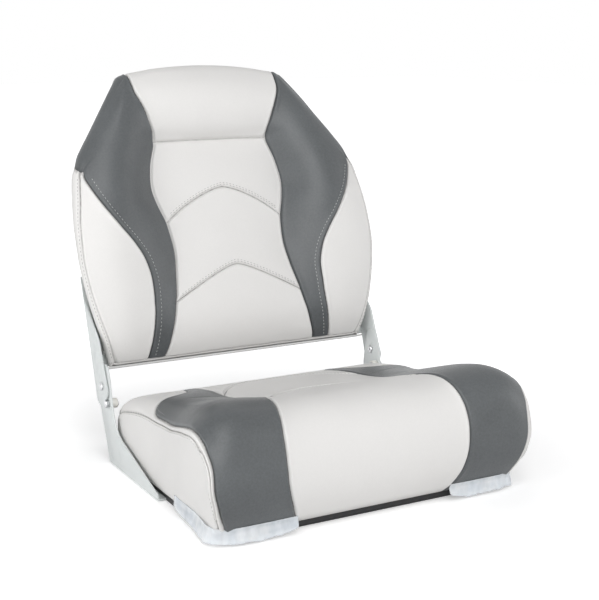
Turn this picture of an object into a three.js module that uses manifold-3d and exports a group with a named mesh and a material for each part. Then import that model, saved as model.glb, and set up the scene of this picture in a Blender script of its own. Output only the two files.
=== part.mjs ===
// Folding high-back boat seat: a moulded pan and a rear shell that carry sewn foam cushions,
// joined by two pairs of pressed steel hinge brackets. The back folds forward over the seat.
// Millimetres, +Z up, +X to the right of someone facing the seat, -Y is the front edge.
// The origin is the centre of the underside mounting pattern.

import * as THREE from "three";
import { mergeVertices } from "three/addons/utils/BufferGeometryUtils.js";
import Module from "manifold-3d";

const wasm = await Module();
wasm.setup();

// Shared values
const clearance = 0.3; // between pieces that rest on each other
const overrun = 2; // how far a cutter runs past what it cuts
const weld = 0.2; // how far two parts of one piece run into each other before they are joined
const mergeToleranceShare = 1e-4;
const roundSteps = 3; // straight runs in a rounded corner
const arcSteps = 6; // straight runs in a longer arc
const turnedSides = 16;
const degree = Math.PI / 180;

// Hinge line
const pivotY = 175;
const pivotZ = 104;
const reclineAngle = 18.2; // degrees that the back leans away from vertical
const hingeHalfSpan = 215; // centre plane to the outer face of a hinge arm
const steel = 2.5;
const steelBend = 3.5; // outer radius where a flange turns
const pivotToRear = 27.8; // pivot to the rear face of the arm's flange
const pivotToBack = 26.7; // pivot up to the lower edge of the back cushion

// Pivot rivet, washer, stop pin and spacer
const rivetRadius = 3.9;
const rivetHeadRadius = 5.6;
const rivetHeadHeight = 2.4;
const rivetRollRadius = 5.8;
const rivetRollHeight = 2;
const rivetBoreRadius = 1.6;
const rivetBoreDepth = 5;
const washerRadius = 8.5;
const washerThickness = 0.8;
const washerSlack = 0.2; // each side of the washer
const stopY = -15.8; // stop pin from the pivot
const stopZ = -20.3;
const stopRadius = 4;
const stopHeadRadius = 5;
const stopHeadHeight = 1.8;
const spacerRadius = 6.75;
const spacerLength = 8;

// Stations along X, from the outer face of an arm inwards
const armInner = hingeHalfSpan - steel;
const washerOuter = armInner - washerSlack;
const earOuter = washerOuter - washerThickness - washerSlack;
const earInner = earOuter - steel;

// Hinge arm, in the leaning frame of the back, measured from the pivot
const armLobeRadius = 20.6; // front of the lower end, concentric with the pivot
const armHeelRadius = 29; // behind the stop pin
const armRearStep = 3; // the plate below the flange stands in by this much
const armFrontLow = -18.6;
const armFrontMid = -14.4;
const armFrontMidZ = 26.3;
const armFrontHigh = -11.3;
const armTaperStart = 60.3; // where the front edge starts to run back
const armTaperEnd = 122; // where it meets the flange
const armFlangeWidth = 27;
const armFlangeLength = 126;
const armCorner = 6;

// Lower bracket, measured from the pivot
const earTopZ = 31;
const earFrontTopY = -13;
const earRearTopY = 12;
const earCorner = 9;
const earFrontY = -20;
const earFrontZ = 12;
const earNeckY = -26;
const earNeckZ = -20;
const bracketHeelY = 20.2; // rear corner just under the ear
const bracketHeelZ = -24.2;
const bracketToeY = -178.9;
const bracketRearY = -13.7;
const gussetKneeY = -38;
const gussetKneeZ = -55;
const gussetKneeRound = 22;
const gussetToeRise = 8; // height of the plate at its front end
const bottomFlangeWidth = 28;
const rearFlangeWidth = 12;
const rearFlangeTopDrop = 32; // below the pivot
const rearFlangeFootDrop = 82;

// Screws
const screwHeadRadius = 4.6;
const screwHeadHeight = 2.6;
const screwShankRadius = 2;
const screwLength = 11;
const screwSides = 8;
const screwInset = 20; // from the outer face of a bracket to the screw line
const screwCrownShare = 0.7; // flat top of a pan head against its radius
const panScrewShares = [0.2, 0.8]; // along the bottom flange
const armScrewShares = [0.16, 0.5, 0.84]; // along the arm's flange

// Seat cushion
const seatInset = 2; // sides of the shape before its plan outline is applied, inside the hinge arms
const seatHalfWidth = hingeHalfSpan - seatInset;
const seatInsetRows = [
  [-178, -26],
  [-150, -22.5],
  [-120, -16.5],
  [-60, -5],
  [-5, 5],
  [70, 8],
  [168, 10],
]; // Y, how far the widest part of the sides lies inside the hinge arms
const seatFootInset = 13; // lower edge of the covers inside the hinge arms
const seatFootHalfWidth = hingeHalfSpan - seatFootInset;
const seatFootZ = 8; // lower edge of the covers above the floor
const seatWaistZ = 78; // height at which the full width is reached
const seatProfileRows = [
  [163, 8],
  [169, 30],
  [170, 58],
  [164, 79],
  [148, 91],
  [120, 100],
  [90, 107],
  [56, 113],
  [10, 119],
  [-30, 128],
  [-75, 143],
  [-105, 152],
  [-132, 156],
  [-156, 151],
  [-174, 137],
  [-186, 117],
  [-192, 92],
  [-192, 66],
  [-187, 42],
  [-176, 21],
  [-162, 8],
]; // Y and Z round the cushion from its rear foot, over the top, to its front foot
const seatEdgeRows = [
  [0, 20],
  [60, 30],
  [170, 36],
  [310, 45],
  [420, 42],
  [480, 38],
  [540, 27],
  [570, 14],
]; // way along that profile, radius of the side edges
const sideSeamShare = 0.906; // share of the edge radius at which the side seam lies
const footCornerShare = 0.8; // share of the edge radius where the lower edge turns the corner
const boxingBulge = 2.5; // crown of the side boxing
const coverThickness = 5;
const coreDepth = coverThickness + 2 * clearance;
const coreFoot = 8; // the foam of the back stops this far above its lower edge
const seamDip = 2.2; // how far a sewn edge is drawn in
const seamPull = 0.65; // how far a panel stops short of its seam
const insertCrown = 3;

// Seams of the seat cover
const rearBoxingWay = 77; // way along the profile
const darkTipWay = 105;
const crestWay = 425; // past the highest seam
const seatInnerSeamInsetRows = [
  [105, 107],
  [120, 113],
  [171, 111],
  [218, 109],
  [350, 114],
  [365, 111],
  [401, 108],
  [444, 104],
  [470, 103],
  [503, 104],
  [552, 105],
  [570, 106],
]; // way along the profile, how far the seam inside the dark panel lies inside the hinge arms
const seatOuterSeamInsetRows = [
  [105, 94],
  [134, 63],
  [162, 37],
  [200, 17],
  [239, 12],
  [285, 12],
  [353, 12],
  [400, 9],
  [440, 10],
  [480, 16],
  [570, 17],
]; // way along the profile, the same for the seam outside the dark panel
const insertReach = 105; // X at which both arcs below meet the inner seams
const rearArcRows = [
  [0, 105],
  [30, 103],
  [50, 95],
  [75, 75],
  [95, 47],
  [105, 27],
]; // X, Y of the seam behind the insert
const frontArcRows = [
  [0, -4],
  [30, -11],
  [50, -23],
  [70, -45],
  [87, -75],
  [102, -101],
]; // X, Y of the seam in front of the insert

// Net of the seat cover: shares across each band of panels and along each row of them
const seatColumnShares = [
  [0, 0.4, 0.75, 1],
  [0, 0.13, 0.5, 0.87, 1],
  [0, 0.78, 1],
  [0, 0.15, 0.5, 1],
]; // middle, dark panel, border, side boxing
const seatRowShares = [
  [0, 0.45, 1],
  [0, 1],
  [0, 0.35, 0.8, 1],
  [0, 0.14, 0.5, 0.86, 1],
  [0, 0.06, 0.17, 0.3, 0.42, 0.54, 0.66, 0.78, 0.9, 1],
]; // rear boxing, rear strip, rear panel, insert, front

// Back cushion, in the leaning frame: up the back from its lower edge, forward from its rear plane
const backHeight = 416;
const backDrawnHeight = 416; // the height for which the tables and seams of the back are drawn
const backCornerHeight = 402; // top corners, where the slanted sides meet the top edge
const backFrontInsetRows = [
  [0, 18.5],
  [7, 14],
  [30, 7],
  [69, -4.5],
  [109, -13],
  [144, -16.5],
  [185, -15],
  [226, -8.5],
  [257, -2],
  [270, 3.5],
  [297, 21],
  [334, 46],
  [370, 69],
  [386, 78.5],
  [402, 89],
]; // up the back, how far the widest part of the edge lies inside the hinge arms
const backRearInsetRows = [
  [0, 20.5],
  [23, 18],
  [79, 12],
  [125, 7],
  [158, 2.5],
  [190, 0.5],
  [219, 1.6],
  [247, 6.5],
  [270, 15.5],
  [288, 24.5],
  [325, 45.5],
  [362, 68.5],
  [386, 82],
  [402, 91.5],
]; // the same at the rear edge
const backInnerSeamInsetRows = [
  [0, 98],
  [23, 105],
  [49, 112],
  [79, 119],
  [111, 125],
  [145, 129.5],
  [182, 126.5],
  [210, 118.5],
  [238, 113],
  [271, 117.5],
  [304, 127],
  [332, 119],
  [355, 110],
  [377, 102],
  [398, 100.5],
];
const backOuterSeamInsetRows = [
  [0, 73],
  [28, 78],
  [70, 83.5],
  [102, 84.5],
  [133, 78],
  [160, 63],
  [181, 47],
  [214, 25],
  [239, 13],
  [262, 6],
  [290, 37],
  [340, 75],
  [398, 96],
];
const lightTipWidth = 5; // blunt upper end of the light side panel
const centreDepthRows = [
  [0, 24],
  [6, 32],
  [14, 38],
  [26, 45],
  [45, 52],
  [74, 54],
  [118, 51],
  [160, 46],
  [187, 42],
  [230, 41],
  [262, 38],
  [292, 31],
  [304, 26],
  [312, 36],
  [326, 44],
  [352, 50],
  [376, 48],
  [399, 38],
  [412, 30],
];
const valleyDepthRows = [
  [0, 23],
  [6, 30],
  [14, 36],
  [26, 41],
  [49, 47],
  [79, 47],
  [111, 42],
  [158, 36.5],
  [199, 32.5],
  [235, 28],
  [271, 25.5],
  [304, 25],
  [319, 34],
  [332, 39],
  [355, 44],
  [375, 41],
  [399, 31],
];
const wingDepthRows = [
  [0, 24],
  [6, 32],
  [14, 38],
  [28, 47],
  [49, 55],
  [79, 61],
  [111, 64],
  [158, 67],
  [199, 67],
  [235, 65],
  [271, 60],
  [304, 55],
  [332, 51],
  [355, 47],
  [375, 41],
  [399, 31],
];
const edgeDepthRows = [
  [0, 22],
  [14, 33],
  [28, 41],
  [49, 47],
  [79, 51],
  [111, 54],
  [158, 56],
  [214, 55],
  [240, 52],
  [271, 48],
  [304, 45],
  [332, 41],
  [355, 38],
  [375, 34],
  [399, 28],
];
const wingCrestInsetRows = [
  [0, 54],
  [110, 43],
  [200, 43],
  [271, 53],
  [304, 66],
  [355, 82],
  [386, 92.5],
  [398, 98],
]; // up the back, where the wing stands highest, inside the hinge arms
const headSeamHeight = 304;
const upperChevronApex = 232;
const upperChevronEnd = 187;
const lowerChevronApex = 119;
const lowerChevronEnd = 74;
const chevronBowShare = 0.75; // bows the legs of a chevron
const edgeInset = 4; // the face stops this short of the outline
const edgeSwell = 1.5; // crown of the boxing
const edgeReturn = 6; // how far the cover wraps behind the face
const rearRound = 2;
const crestMidShare = 0.5; // where along the boxing its crown lies
const crestDrawShare = 0.4; // share of the boxing's slant reached at its crown

// Net of the back cover
const backColumnShares = [
  [0, 0.4, 0.75, 1],
  [0, 0.15, 0.5, 0.85, 1],
  [0, 0.45, 0.85, 1],
]; // middle, dark panel, side panel
const backRowShares = [
  [0, 0.07, 0.17, 0.42, 0.8, 1],
  [0, 0.12, 0.5, 0.88, 1],
  [0, 0.12, 0.4, 0.675, 0.88, 1],
  [0, 0.07, 0.2, 0.45, 0.72, 0.9, 1],
]; // lower, middle, upper and head rows
const darkCornerRow = 12; // row line at which the light side panels end

// Rear shell
const shellThickness = 3;
const shellInset = 5;
const shellLipDrop = 4.5;
const shellLipDepth = 20.5;
const shellLipThickness = 2.6;
const shellLipInset = 13; // ends of the lip, the field and its corners inside the hinge arms
const shellBossRadius = 5.5;
const shellBossDepth = 13;
const fieldRise = 4; // raised middle of the shell's rear face
const fieldRound = 26;
const fieldFootInset = 57;
const fieldFoot = 24;
const fieldShoulderInset = 45;
const fieldShoulder = 214;
const fieldTopInset = 119;
const fieldTop = 374;
const grooveDepth = 1.6;
const grooveWidth = 5;
const grooveFoot = 66;
const grooveTop = 300;
const groovePitch = 48;
const grooveCount = 5;

// Pan
const panTop = 21;
const panDeck = 3;
const panWall = 3;
const panInset = 5.5; // wall inside the lower edge of the covers
const panLipInset = 2.4;
const panFrontRound = 20;
const panRearRound = 34;
const ribThickness = 2.2;
const ribCountAcross = 7;
const ribCountAlong = 5;
const ribRise = 2; // ribs stop this far above the floor
const railWidth = 14; // solid edge rail that the bracket screws enter
const padHalf = 86; // half-width of the flat mounting pad
const padThickness = 3;
const padRound = 12;
const drainInset = 13; // drain slots of the pad, from the middle of each rib cell
const drainWidth = 3;
const drainLength = 14;
const drainCellShares = [-0.5, 0.5]; // middles of the drained cells, in rib pitches
const patternHalf = 63.5; // half the spacing of the mounting holes
const bossRadius = 9;
const boltHoleRadius = 3.6;
const nutBarrelRadius = 3.9;
const nutBarrelLength = 9;
const nutFlangeRadius = 9.5;
const nutFlangeThickness = 1.5;
const nutBoreRadius = 2.7;
const nutSides = 12;

// Corner guards
const guardThickness = 0.8;
const guardTop = 21;
const guardFloor = 1.2;
const guardPathRows = [
  [108, -176],
  [30, -176],
  [17, -171.4],
  [5.8, -166.2],
  [0, -153.4],
  [2, -131.4],
  [5.2, -112],
  [6.8, -96],
  [8.1, -70],
  [8.7, -44],
]; // plan of the inner face from the front round to the side: inset from the hinge arms, and Y

// Colours
const lightVinyl = new THREE.MeshStandardMaterial({ color: 0xdcdad6, roughness: 0.55, metalness: 0 });
const darkVinyl = new THREE.MeshStandardMaterial({ color: 0x54585a, roughness: 0.5, metalness: 0 });
const foam = new THREE.MeshStandardMaterial({ color: 0xe8dcae, roughness: 0.95, metalness: 0 });
const panPlastic = new THREE.MeshStandardMaterial({ color: 0x26282a, roughness: 0.6, metalness: 0 });
const shellPlastic = new THREE.MeshStandardMaterial({ color: 0xd4d5d4, roughness: 0.5, metalness: 0 });
const paintedSteel = new THREE.MeshStandardMaterial({ color: 0xbcc4c1, roughness: 0.45, metalness: 0.3 });
const brightSteel = new THREE.MeshStandardMaterial({ color: 0xc8cacc, roughness: 0.25, metalness: 0.9 });
const nylon = new THREE.MeshStandardMaterial({ color: 0xeeeeea, roughness: 0.5, metalness: 0 });
const film = new THREE.MeshStandardMaterial({ color: 0xd6e2ea, roughness: 0.2, metalness: 0 });

// General helpers

// A smooth curve through rows of [place, value] that never overshoots them
function smoothCurve(rows) {
  const places = rows.map((row) => row[0]);
  const values = rows.map((row) => row[1]);
  const rises = places.slice(1).map((place, i) => (values[i + 1] - values[i]) / (place - places[i]));
  const slopes = places.map((_, i) => {
    if (i === 0) return rises[0];
    if (i === places.length - 1) return rises[i - 1];
    const product = rises[i - 1] * rises[i];
    return product <= 0 ? 0 : (2 * product) / (rises[i - 1] + rises[i]);
  });
  return (place) => {
    const within = THREE.MathUtils.clamp(place, places[0], places[places.length - 1]);
    let i = 0;
    while (i < places.length - 2 && within > places[i + 1]) i += 1;
    const span = places[i + 1] - places[i];
    const k = (within - places[i]) / span;
    const k2 = k * k;
    const k3 = k2 * k;
    return (
      values[i] * (2 * k3 - 3 * k2 + 1) +
      values[i + 1] * (3 * k2 - 2 * k3) +
      slopes[i] * span * (k3 - 2 * k2 + k) +
      slopes[i + 1] * span * (k3 - k2)
    );
  };
}

// The same for rows of [place, inset from the outer faces of the hinge arms]
function widthCurve(rows) {
  const inset = smoothCurve(rows);
  return (place) => hingeHalfSpan - inset(place);
}

// Closed geometry from points and triangles, turned to face outwards
function closedGeometry(points, triangles) {
  let volume = 0;
  for (let i = 0; i < triangles.length; i += 3) {
    const [a, b, c] = [points[triangles[i]], points[triangles[i + 1]], points[triangles[i + 2]]];
    volume += a.dot(new THREE.Vector3().crossVectors(b, c));
  }
  const geometry = new THREE.BufferGeometry().setFromPoints(points);
  geometry.setIndex(volume < 0 ? [...triangles].reverse() : triangles);
  return geometry;
}

// Merged positions without the flat triangles that a revolve leaves on its axis
function cleaned(geometry) {
  const bare = geometry.clone();
  bare.deleteAttribute("normal");
  bare.deleteAttribute("uv");
  const merged = mergeVertices(bare, mergeToleranceShare);
  const points = [];
  const place = merged.getAttribute("position");
  for (let i = 0; i < place.count; i += 1) points.push(new THREE.Vector3().fromBufferAttribute(place, i));
  const index = Array.from(merged.getIndex().array);
  const kept = [];
  for (let i = 0; i < index.length; i += 3) {
    const [a, b, c] = index.slice(i, i + 3);
    if (a !== b && b !== c && c !== a) kept.push(a, b, c);
  }
  return closedGeometry(points, kept);
}

function toSolid(geometry) {
  const ready = cleaned(geometry);
  return new wasm.Manifold(
    new wasm.Mesh({
      numProp: 3,
      vertProperties: new Float32Array(ready.getAttribute("position").array),
      triVerts: new Uint32Array(ready.getIndex().array),
    }),
  );
}

function toGeometry(solid) {
  const mesh = solid.getMesh();
  const geometry = new THREE.BufferGeometry();
  geometry.setAttribute("position", new THREE.BufferAttribute(new Float32Array(mesh.vertProperties), 3));
  geometry.setIndex(new THREE.BufferAttribute(new Uint32Array(mesh.triVerts), 1));
  return geometry;
}

function joined(...geometries) {
  return toGeometry(geometries.map(toSolid).reduce((whole, next) => whole.add(next)));
}

function cut(geometry, ...tools) {
  return toGeometry(tools.map(toSolid).reduce((whole, tool) => whole.subtract(tool), toSolid(geometry)));
}

function common(...geometries) {
  return toGeometry(geometries.map(toSolid).reduce((whole, next) => whole.intersect(next)));
}

function mirrored(geometry) {
  return cleaned(geometry.clone().scale(-1, 1, 1));
}

// A flat outline whose corners are [a, b, radius]
function roundedShape(corners) {
  const shape = new THREE.Shape();
  corners.forEach(([a, b, radius], i) => {
    const corner = new THREE.Vector2(a, b);
    const before = new THREE.Vector2(...corners[(i + corners.length - 1) % corners.length]);
    const after = new THREE.Vector2(...corners[(i + 1) % corners.length]);
    const enter = before.sub(corner).setLength(radius).add(corner);
    const leave = after.sub(corner).setLength(radius).add(corner);
    if (i === 0) shape.moveTo(enter.x, enter.y);
    else shape.lineTo(enter.x, enter.y);
    if (radius > 0) shape.quadraticCurveTo(corner.x, corner.y, leave.x, leave.y);
  });
  shape.closePath();
  return shape;
}

// An outline mirrored about the second axis, from the corners of its right-hand half
function mirroredShape(corners) {
  const left = corners.map(([a, b, radius]) => [-a, b, radius]).reverse();
  return roundedShape([...corners, ...left]);
}

function extruded(shape, depth) {
  return new THREE.ExtrudeGeometry(shape, { depth, bevelEnabled: false, curveSegments: roundSteps });
}

// An outline drawn in the YZ plane, thickened along X from x to x + depth
function plateAlongX(shape, x, depth) {
  const turn = new THREE.Matrix4().makeBasis(
    new THREE.Vector3(0, 1, 0),
    new THREE.Vector3(0, 0, 1),
    new THREE.Vector3(1, 0, 0),
  );
  return extruded(shape, depth).applyMatrix4(turn).translate(x, 0, 0);
}

// An outline drawn in the XZ plane, thickened along +Y from y to y + depth
function plateAlongY(shape, y, depth) {
  return extruded(shape, depth).rotateX(90 * degree).translate(0, y + depth, 0);
}

function plateAlongZ(shape, z, depth) {
  return extruded(shape, depth).translate(0, 0, z);
}

function box(minimum, maximum) {
  const [low, high] = [new THREE.Vector3(...minimum), new THREE.Vector3(...maximum)];
  const size = high.clone().sub(low);
  const centre = high.add(low).multiplyScalar(0.5);
  return new THREE.BoxGeometry(size.x, size.y, size.z).translate(centre.x, centre.y, centre.z);
}

// A body of revolution about +Z from [radius, height] points that start and end on the axis
function turned(profile, sides = turnedSides) {
  const points = profile.map(([radius, height]) => new THREE.Vector2(radius, height));
  return new THREE.LatheGeometry(points, sides).rotateX(90 * degree);
}

// The same about an axis along +X, through a point of the YZ plane
function turnedAlongX(profile, y, z, sides) {
  return turned(profile, sides).rotateY(90 * degree).translate(0, y, z);
}

function rod(radius, from, to) {
  return [
    [0, from],
    [radius, from],
    [radius, to],
    [0, to],
  ];
}

const seat = new THREE.Group();
const back = new THREE.Group();
back.position.set(0, pivotY, pivotZ);
back.rotation.x = -reclineAngle * degree;

function addPart(parent, name, geometry, material) {
  const mesh = new THREE.Mesh(geometry, material.clone());
  mesh.name = name;
  parent.add(mesh);
}

// The right-hand piece is drawn, and the left-hand one is its mirror image
function addPair(parent, name, geometry, material) {
  addPart(parent, `${name}_right`, geometry, material);
  addPart(parent, `${name}_left`, mirrored(geometry), material);
}

// Copies of one piece, numbered from the left-hand one
function addCopies(parent, name, geometries, material) {
  geometries.forEach((geometry, i) => addPart(parent, `${name}_${i + 1}`, geometry, material));
}

// Sewn cushions: one net of cells covers a cushion, and each cell is marked with its panel

function handOf(sign) {
  return sign < 0 ? "left" : "right";
}

// Column lines of a net from its right-hand edge through the centre plane to its left-hand edge
function columnLines(bandShares) {
  const half = bandShares.flatMap((shares, band) =>
    shares.slice(band === 0 ? 0 : 1).map((share) => ({ band, share, sign: 1 })),
  );
  const other = half.slice(1).map((line) => ({ ...line, sign: -1 }));
  return [...half.reverse(), ...other];
}

function rowLines(bandShares) {
  return bandShares.flatMap((shares, band) =>
    shares.slice(band === 0 ? 0 : 1).map((share) => ({ band, share })),
  );
}

// A cell lies in the outer one of the bands that its two lines belong to
function cellColumn(columns, i) {
  const outer = columns[i].band * 2 + columns[i].share > columns[i + 1].band * 2 + columns[i + 1].share;
  return outer ? columns[i] : columns[i + 1];
}

// Adds the cells between the points of a grid, alike on its two halves; flip turns their outer
// side over
function addCells(net, grid, panelOf, flip = false) {
  for (let i = 0; i + 1 < grid.length; i += 1) {
    for (let j = 0; j + 1 < grid[i].length; j += 1) {
      const corners = [grid[i][j], grid[i + 1][j], grid[i + 1][j + 1], grid[i][j + 1]];
      if (2 * i + 1 > grid.length - 1) corners.push(corners.shift());
      if (flip) corners.reverse().unshift(corners.pop());
      net.push({ corners, panel: panelOf(i, j) });
    }
  }
}

// The triangles of a cell, all from its first corner
function fanOf(corners) {
  return corners.slice(2).map((corner, i) => [corners[0], corners[i + 1], corner]);
}

function cellNormal(corners) {
  const normal = new THREE.Vector3();
  fanOf(corners).forEach(([a, b, c]) => normal.add(b.clone().sub(a).cross(c.clone().sub(a))));
  return normal.normalize();
}

function meanOf(points) {
  return points.reduce((sum, point) => sum.add(point), new THREE.Vector3()).divideScalar(points.length);
}

// For each point of a net: the direction out of the cushion and the panels that meet there
function netFacts(net) {
  const facts = new Map();
  net.forEach(({ corners, panel }) => {
    const normal = cellNormal(corners);
    corners.forEach((corner) => {
      if (!facts.has(corner)) facts.set(corner, { out: new THREE.Vector3(), panels: new Set() });
      facts.get(corner).out.add(normal);
      facts.get(corner).panels.add(panel);
    });
  });
  facts.forEach((fact) => fact.out.normalize());
  return facts;
}

// Edges that only one of the cells has, each in the direction in which that cell runs
function openEdges(cells) {
  const edges = cells.flatMap(({ corners }) =>
    corners.map((corner, i) => [corner, corners[(i + 1) % corners.length]]),
  );
  const leaving = new Map();
  edges.forEach(([from, to]) => leaving.set(from, [...(leaving.get(from) ?? []), to]));
  return edges.filter(([from, to]) => !(leaving.get(to) ?? []).includes(from));
}

// One sewn panel: a thick sheet over its cells, drawn in and down where it meets other panels
function sewnPanel(net, facts, name) {
  const cells = net.filter((cell) => cell.panel === name);
  const edges = openEdges(cells);
  const inward = new Map();
  edges.forEach(([from, to]) => {
    [from, to].forEach((corner) => {
      const across = facts.get(corner).out.clone().cross(to.clone().sub(from)).normalize();
      inward.set(corner, (inward.get(corner) ?? new THREE.Vector3()).add(across));
    });
  });
  const points = [];
  const place = new Map();
  new Set(cells.flatMap(({ corners }) => corners)).forEach((corner) => {
    const { out, panels } = facts.get(corner);
    const sewn = panels.size > 1;
    const edge = corner.clone();
    if (sewn) edge.addScaledVector(inward.get(corner).normalize(), seamPull);
    place.set(corner, points.length);
    points.push(edge.clone().addScaledVector(out, sewn ? -seamDip : 0));
    points.push(edge.addScaledVector(out, -coverThickness));
  });
  const triangles = [];
  cells.forEach(({ corners }) => {
    fanOf(corners.map((corner) => place.get(corner))).forEach(([a, b, c]) => {
      triangles.push(a, b, c, a + 1, c + 1, b + 1);
    });
  });
  edges.forEach(([from, to]) => {
    const [a, b] = [place.get(from), place.get(to)];
    triangles.push(b, a, a + 1, b, a + 1, b + 1);
  });
  return closedGeometry(points, triangles);
}

// The solid under all the covers, closed with a fan over the open side of the net
function cushionCore(net, facts, depth) {
  const points = [];
  const place = new Map();
  facts.forEach(({ out }, corner) => {
    place.set(corner, points.push(corner.clone().addScaledVector(out, -depth)) - 1);
  });
  const triangles = [];
  net.forEach(({ corners }) => {
    triangles.push(...fanOf(corners.map((corner) => place.get(corner))).flat());
  });
  const rim = openEdges(net);
  const centre = points.push(meanOf(rim.map(([from]) => points[place.get(from)]))) - 1;
  rim.forEach(([from, to]) => triangles.push(place.get(to), place.get(from), centre));
  return closedGeometry(points, triangles);
}

// Seat cushion

const seatProfile = new THREE.CatmullRomCurve3(
  seatProfileRows.map(([y, z]) => new THREE.Vector3(0, y, z)),
);
seatProfile.arcLengthDivisions = 600;
const seatLength = seatProfile.getLength();
const seatWidthAt = widthCurve(seatInsetRows);
const seatEdgeAt = smoothCurve(seatEdgeRows);
const seatInnerSeam = widthCurve(seatInnerSeamInsetRows);
const seatOuterSeam = widthCurve(seatOuterSeamInsetRows);
const rearArc = smoothCurve(rearArcRows);
const frontArc = smoothCurve(frontArcRows);

function seatHalfWidthAt(y, z) {
  const lift = THREE.MathUtils.clamp((z - seatFootZ) / (seatWaistZ - seatFootZ), 0, 1);
  return THREE.MathUtils.lerp(seatFootHalfWidth, seatWidthAt(y), Math.sin(lift * 90 * degree));
}

// X of the side seam, before the plan outline widens it
function sideSeamX(way) {
  return seatHalfWidth - seatEdgeAt(way) * (1 - sideSeamShare);
}

// A point on the covers: x across, way round the profile, and how far it is puffed up
function seatPoint(x, way, rise) {
  const radius = seatEdgeAt(way);
  const past = Math.max(0, Math.abs(x) - (seatHalfWidth - radius)) / radius;
  const draw = radius * (1 - Math.sqrt(Math.max(0, 1 - past * past))) - rise;
  const place = seatProfile.getPointAt(way / seatLength);
  const run = seatProfile.getTangentAt(way / seatLength);
  const y = place.y - run.z * draw;
  const z = Math.max(seatFootZ, place.z + run.y * draw);
  return new THREE.Vector3((x * seatHalfWidthAt(y, z)) / seatHalfWidth, y, z);
}

// Way along the profile at which the top of the cushion lies at y
function wayAt(y) {
  let low = rearBoxingWay;
  let high = crestWay;
  const closeEnough = seatLength / 1e5;
  while (high - low > closeEnough) {
    const middle = (low + high) / 2;
    if (seatProfile.getPointAt(middle / seatLength).y > y) low = middle;
    else high = middle;
  }
  return low;
}

// The side boxing runs from the side seam down to the lower edge
function seatSidePoint(sign, way, drop) {
  const footFront = seatProfile.getPointAt(1).y + seatEdgeAt(seatLength) * footCornerShare;
  const footRear = seatProfile.getPointAt(0).y - seatEdgeAt(0) * footCornerShare;
  const y = THREE.MathUtils.lerp(footRear, footFront, way / seatLength);
  const foot = new THREE.Vector3(sign * seatFootHalfWidth, y, seatFootZ);
  const point = seatPoint(sign * sideSeamX(way), way, 0).lerp(foot, drop);
  point.x += sign * boxingBulge * Math.sin(drop * 180 * degree);
  return point;
}

function seatNetPoint(column, row) {
  const inMiddle = column.band === 0;
  const reach = inMiddle ? column.share : 1;
  const bounds = [
    0,
    rearBoxingWay,
    darkTipWay,
    wayAt(rearArc(reach * insertReach)),
    wayAt(frontArc(reach * insertReach)),
    seatLength,
  ];
  const way = THREE.MathUtils.lerp(bounds[row.band], bounds[row.band + 1], row.share);
  if (column.band === 3) return seatSidePoint(column.sign, way, column.share);
  const seams = [0, seatInnerSeam(way), seatOuterSeam(way), sideSeamX(way)];
  const x = THREE.MathUtils.lerp(seams[column.band], seams[column.band + 1], column.share);
  const inInsert = inMiddle && row.band === 3;
  const field = Math.cos(column.share * 90 * degree) * Math.sin(row.share * 180 * degree);
  return seatPoint(column.sign * x, way, inInsert ? insertCrown * field : 0);
}

const seatColumns = columnLines(seatColumnShares);
const seatRows = rowLines(seatRowShares);

function seatPanelName(i, j) {
  const { band, sign } = cellColumn(seatColumns, i);
  const row = seatRows[j + 1].band;
  if (band === 3) return `seat_side_boxing_${handOf(sign)}`;
  if (row === 0) return "seat_rear_boxing";
  if (row === 1 || band === 2) return "seat_rear_panel";
  if (band === 1) return `seat_dark_panel_${handOf(sign)}`;
  return ["seat_rear_panel", "seat_insert_panel", "seat_front_panel"][row - 2];
}

const seatNet = [];
addCells(seatNet, seatColumns.map((column) => seatRows.map((row) => seatNetPoint(column, row))), seatPanelName);
const seatFacts = netFacts(seatNet);
const seatPanelNames = [...new Set(seatNet.map((cell) => cell.panel))];
seatPanelNames.forEach((name) => {
  const material = name.includes("dark") ? darkVinyl : lightVinyl;
  addPart(seat, name, sewnPanel(seatNet, seatFacts, name), material);
});

// The foam stands on the pan's deck
function seatFoam() {
  const below = box(
    [-seatHalfWidth - overrun, -seatHalfWidth - overrun, -overrun],
    [seatHalfWidth + overrun, seatHalfWidth + overrun, panTop + clearance],
  );
  return cut(cushionCore(seatNet, seatFacts, coreDepth), below);
}

addPart(seat, "seat_foam", seatFoam(), foam);

// Pan

const panHalfWidth = seatFootHalfWidth - panInset;
const panFrontY = seatProfileRows[seatProfileRows.length - 1][0] + panInset;
const panRearY = seatProfileRows[0][0] - panInset;

// Plan outline of the pan, drawn in by an inset or let out by a negative one
function panOutline(inset) {
  return mirroredShape([
    [panHalfWidth - inset, panFrontY + inset, panFrontRound - inset],
    [panHalfWidth - inset, panRearY - inset, panRearRound - inset],
  ]);
}

const flangeFrontY = pivotY + bracketToeY;
const flangeRearY = pivotY + bracketRearY;
const screwLineX = earOuter - screwInset;

function panScrewPlaces() {
  return panScrewShares.map((share) => THREE.MathUtils.lerp(flangeFrontY, flangeRearY, share));
}

function patternPlaces() {
  return [-patternHalf, patternHalf].flatMap((x) => [-patternHalf, patternHalf].map((y) => [x, y]));
}

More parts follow.
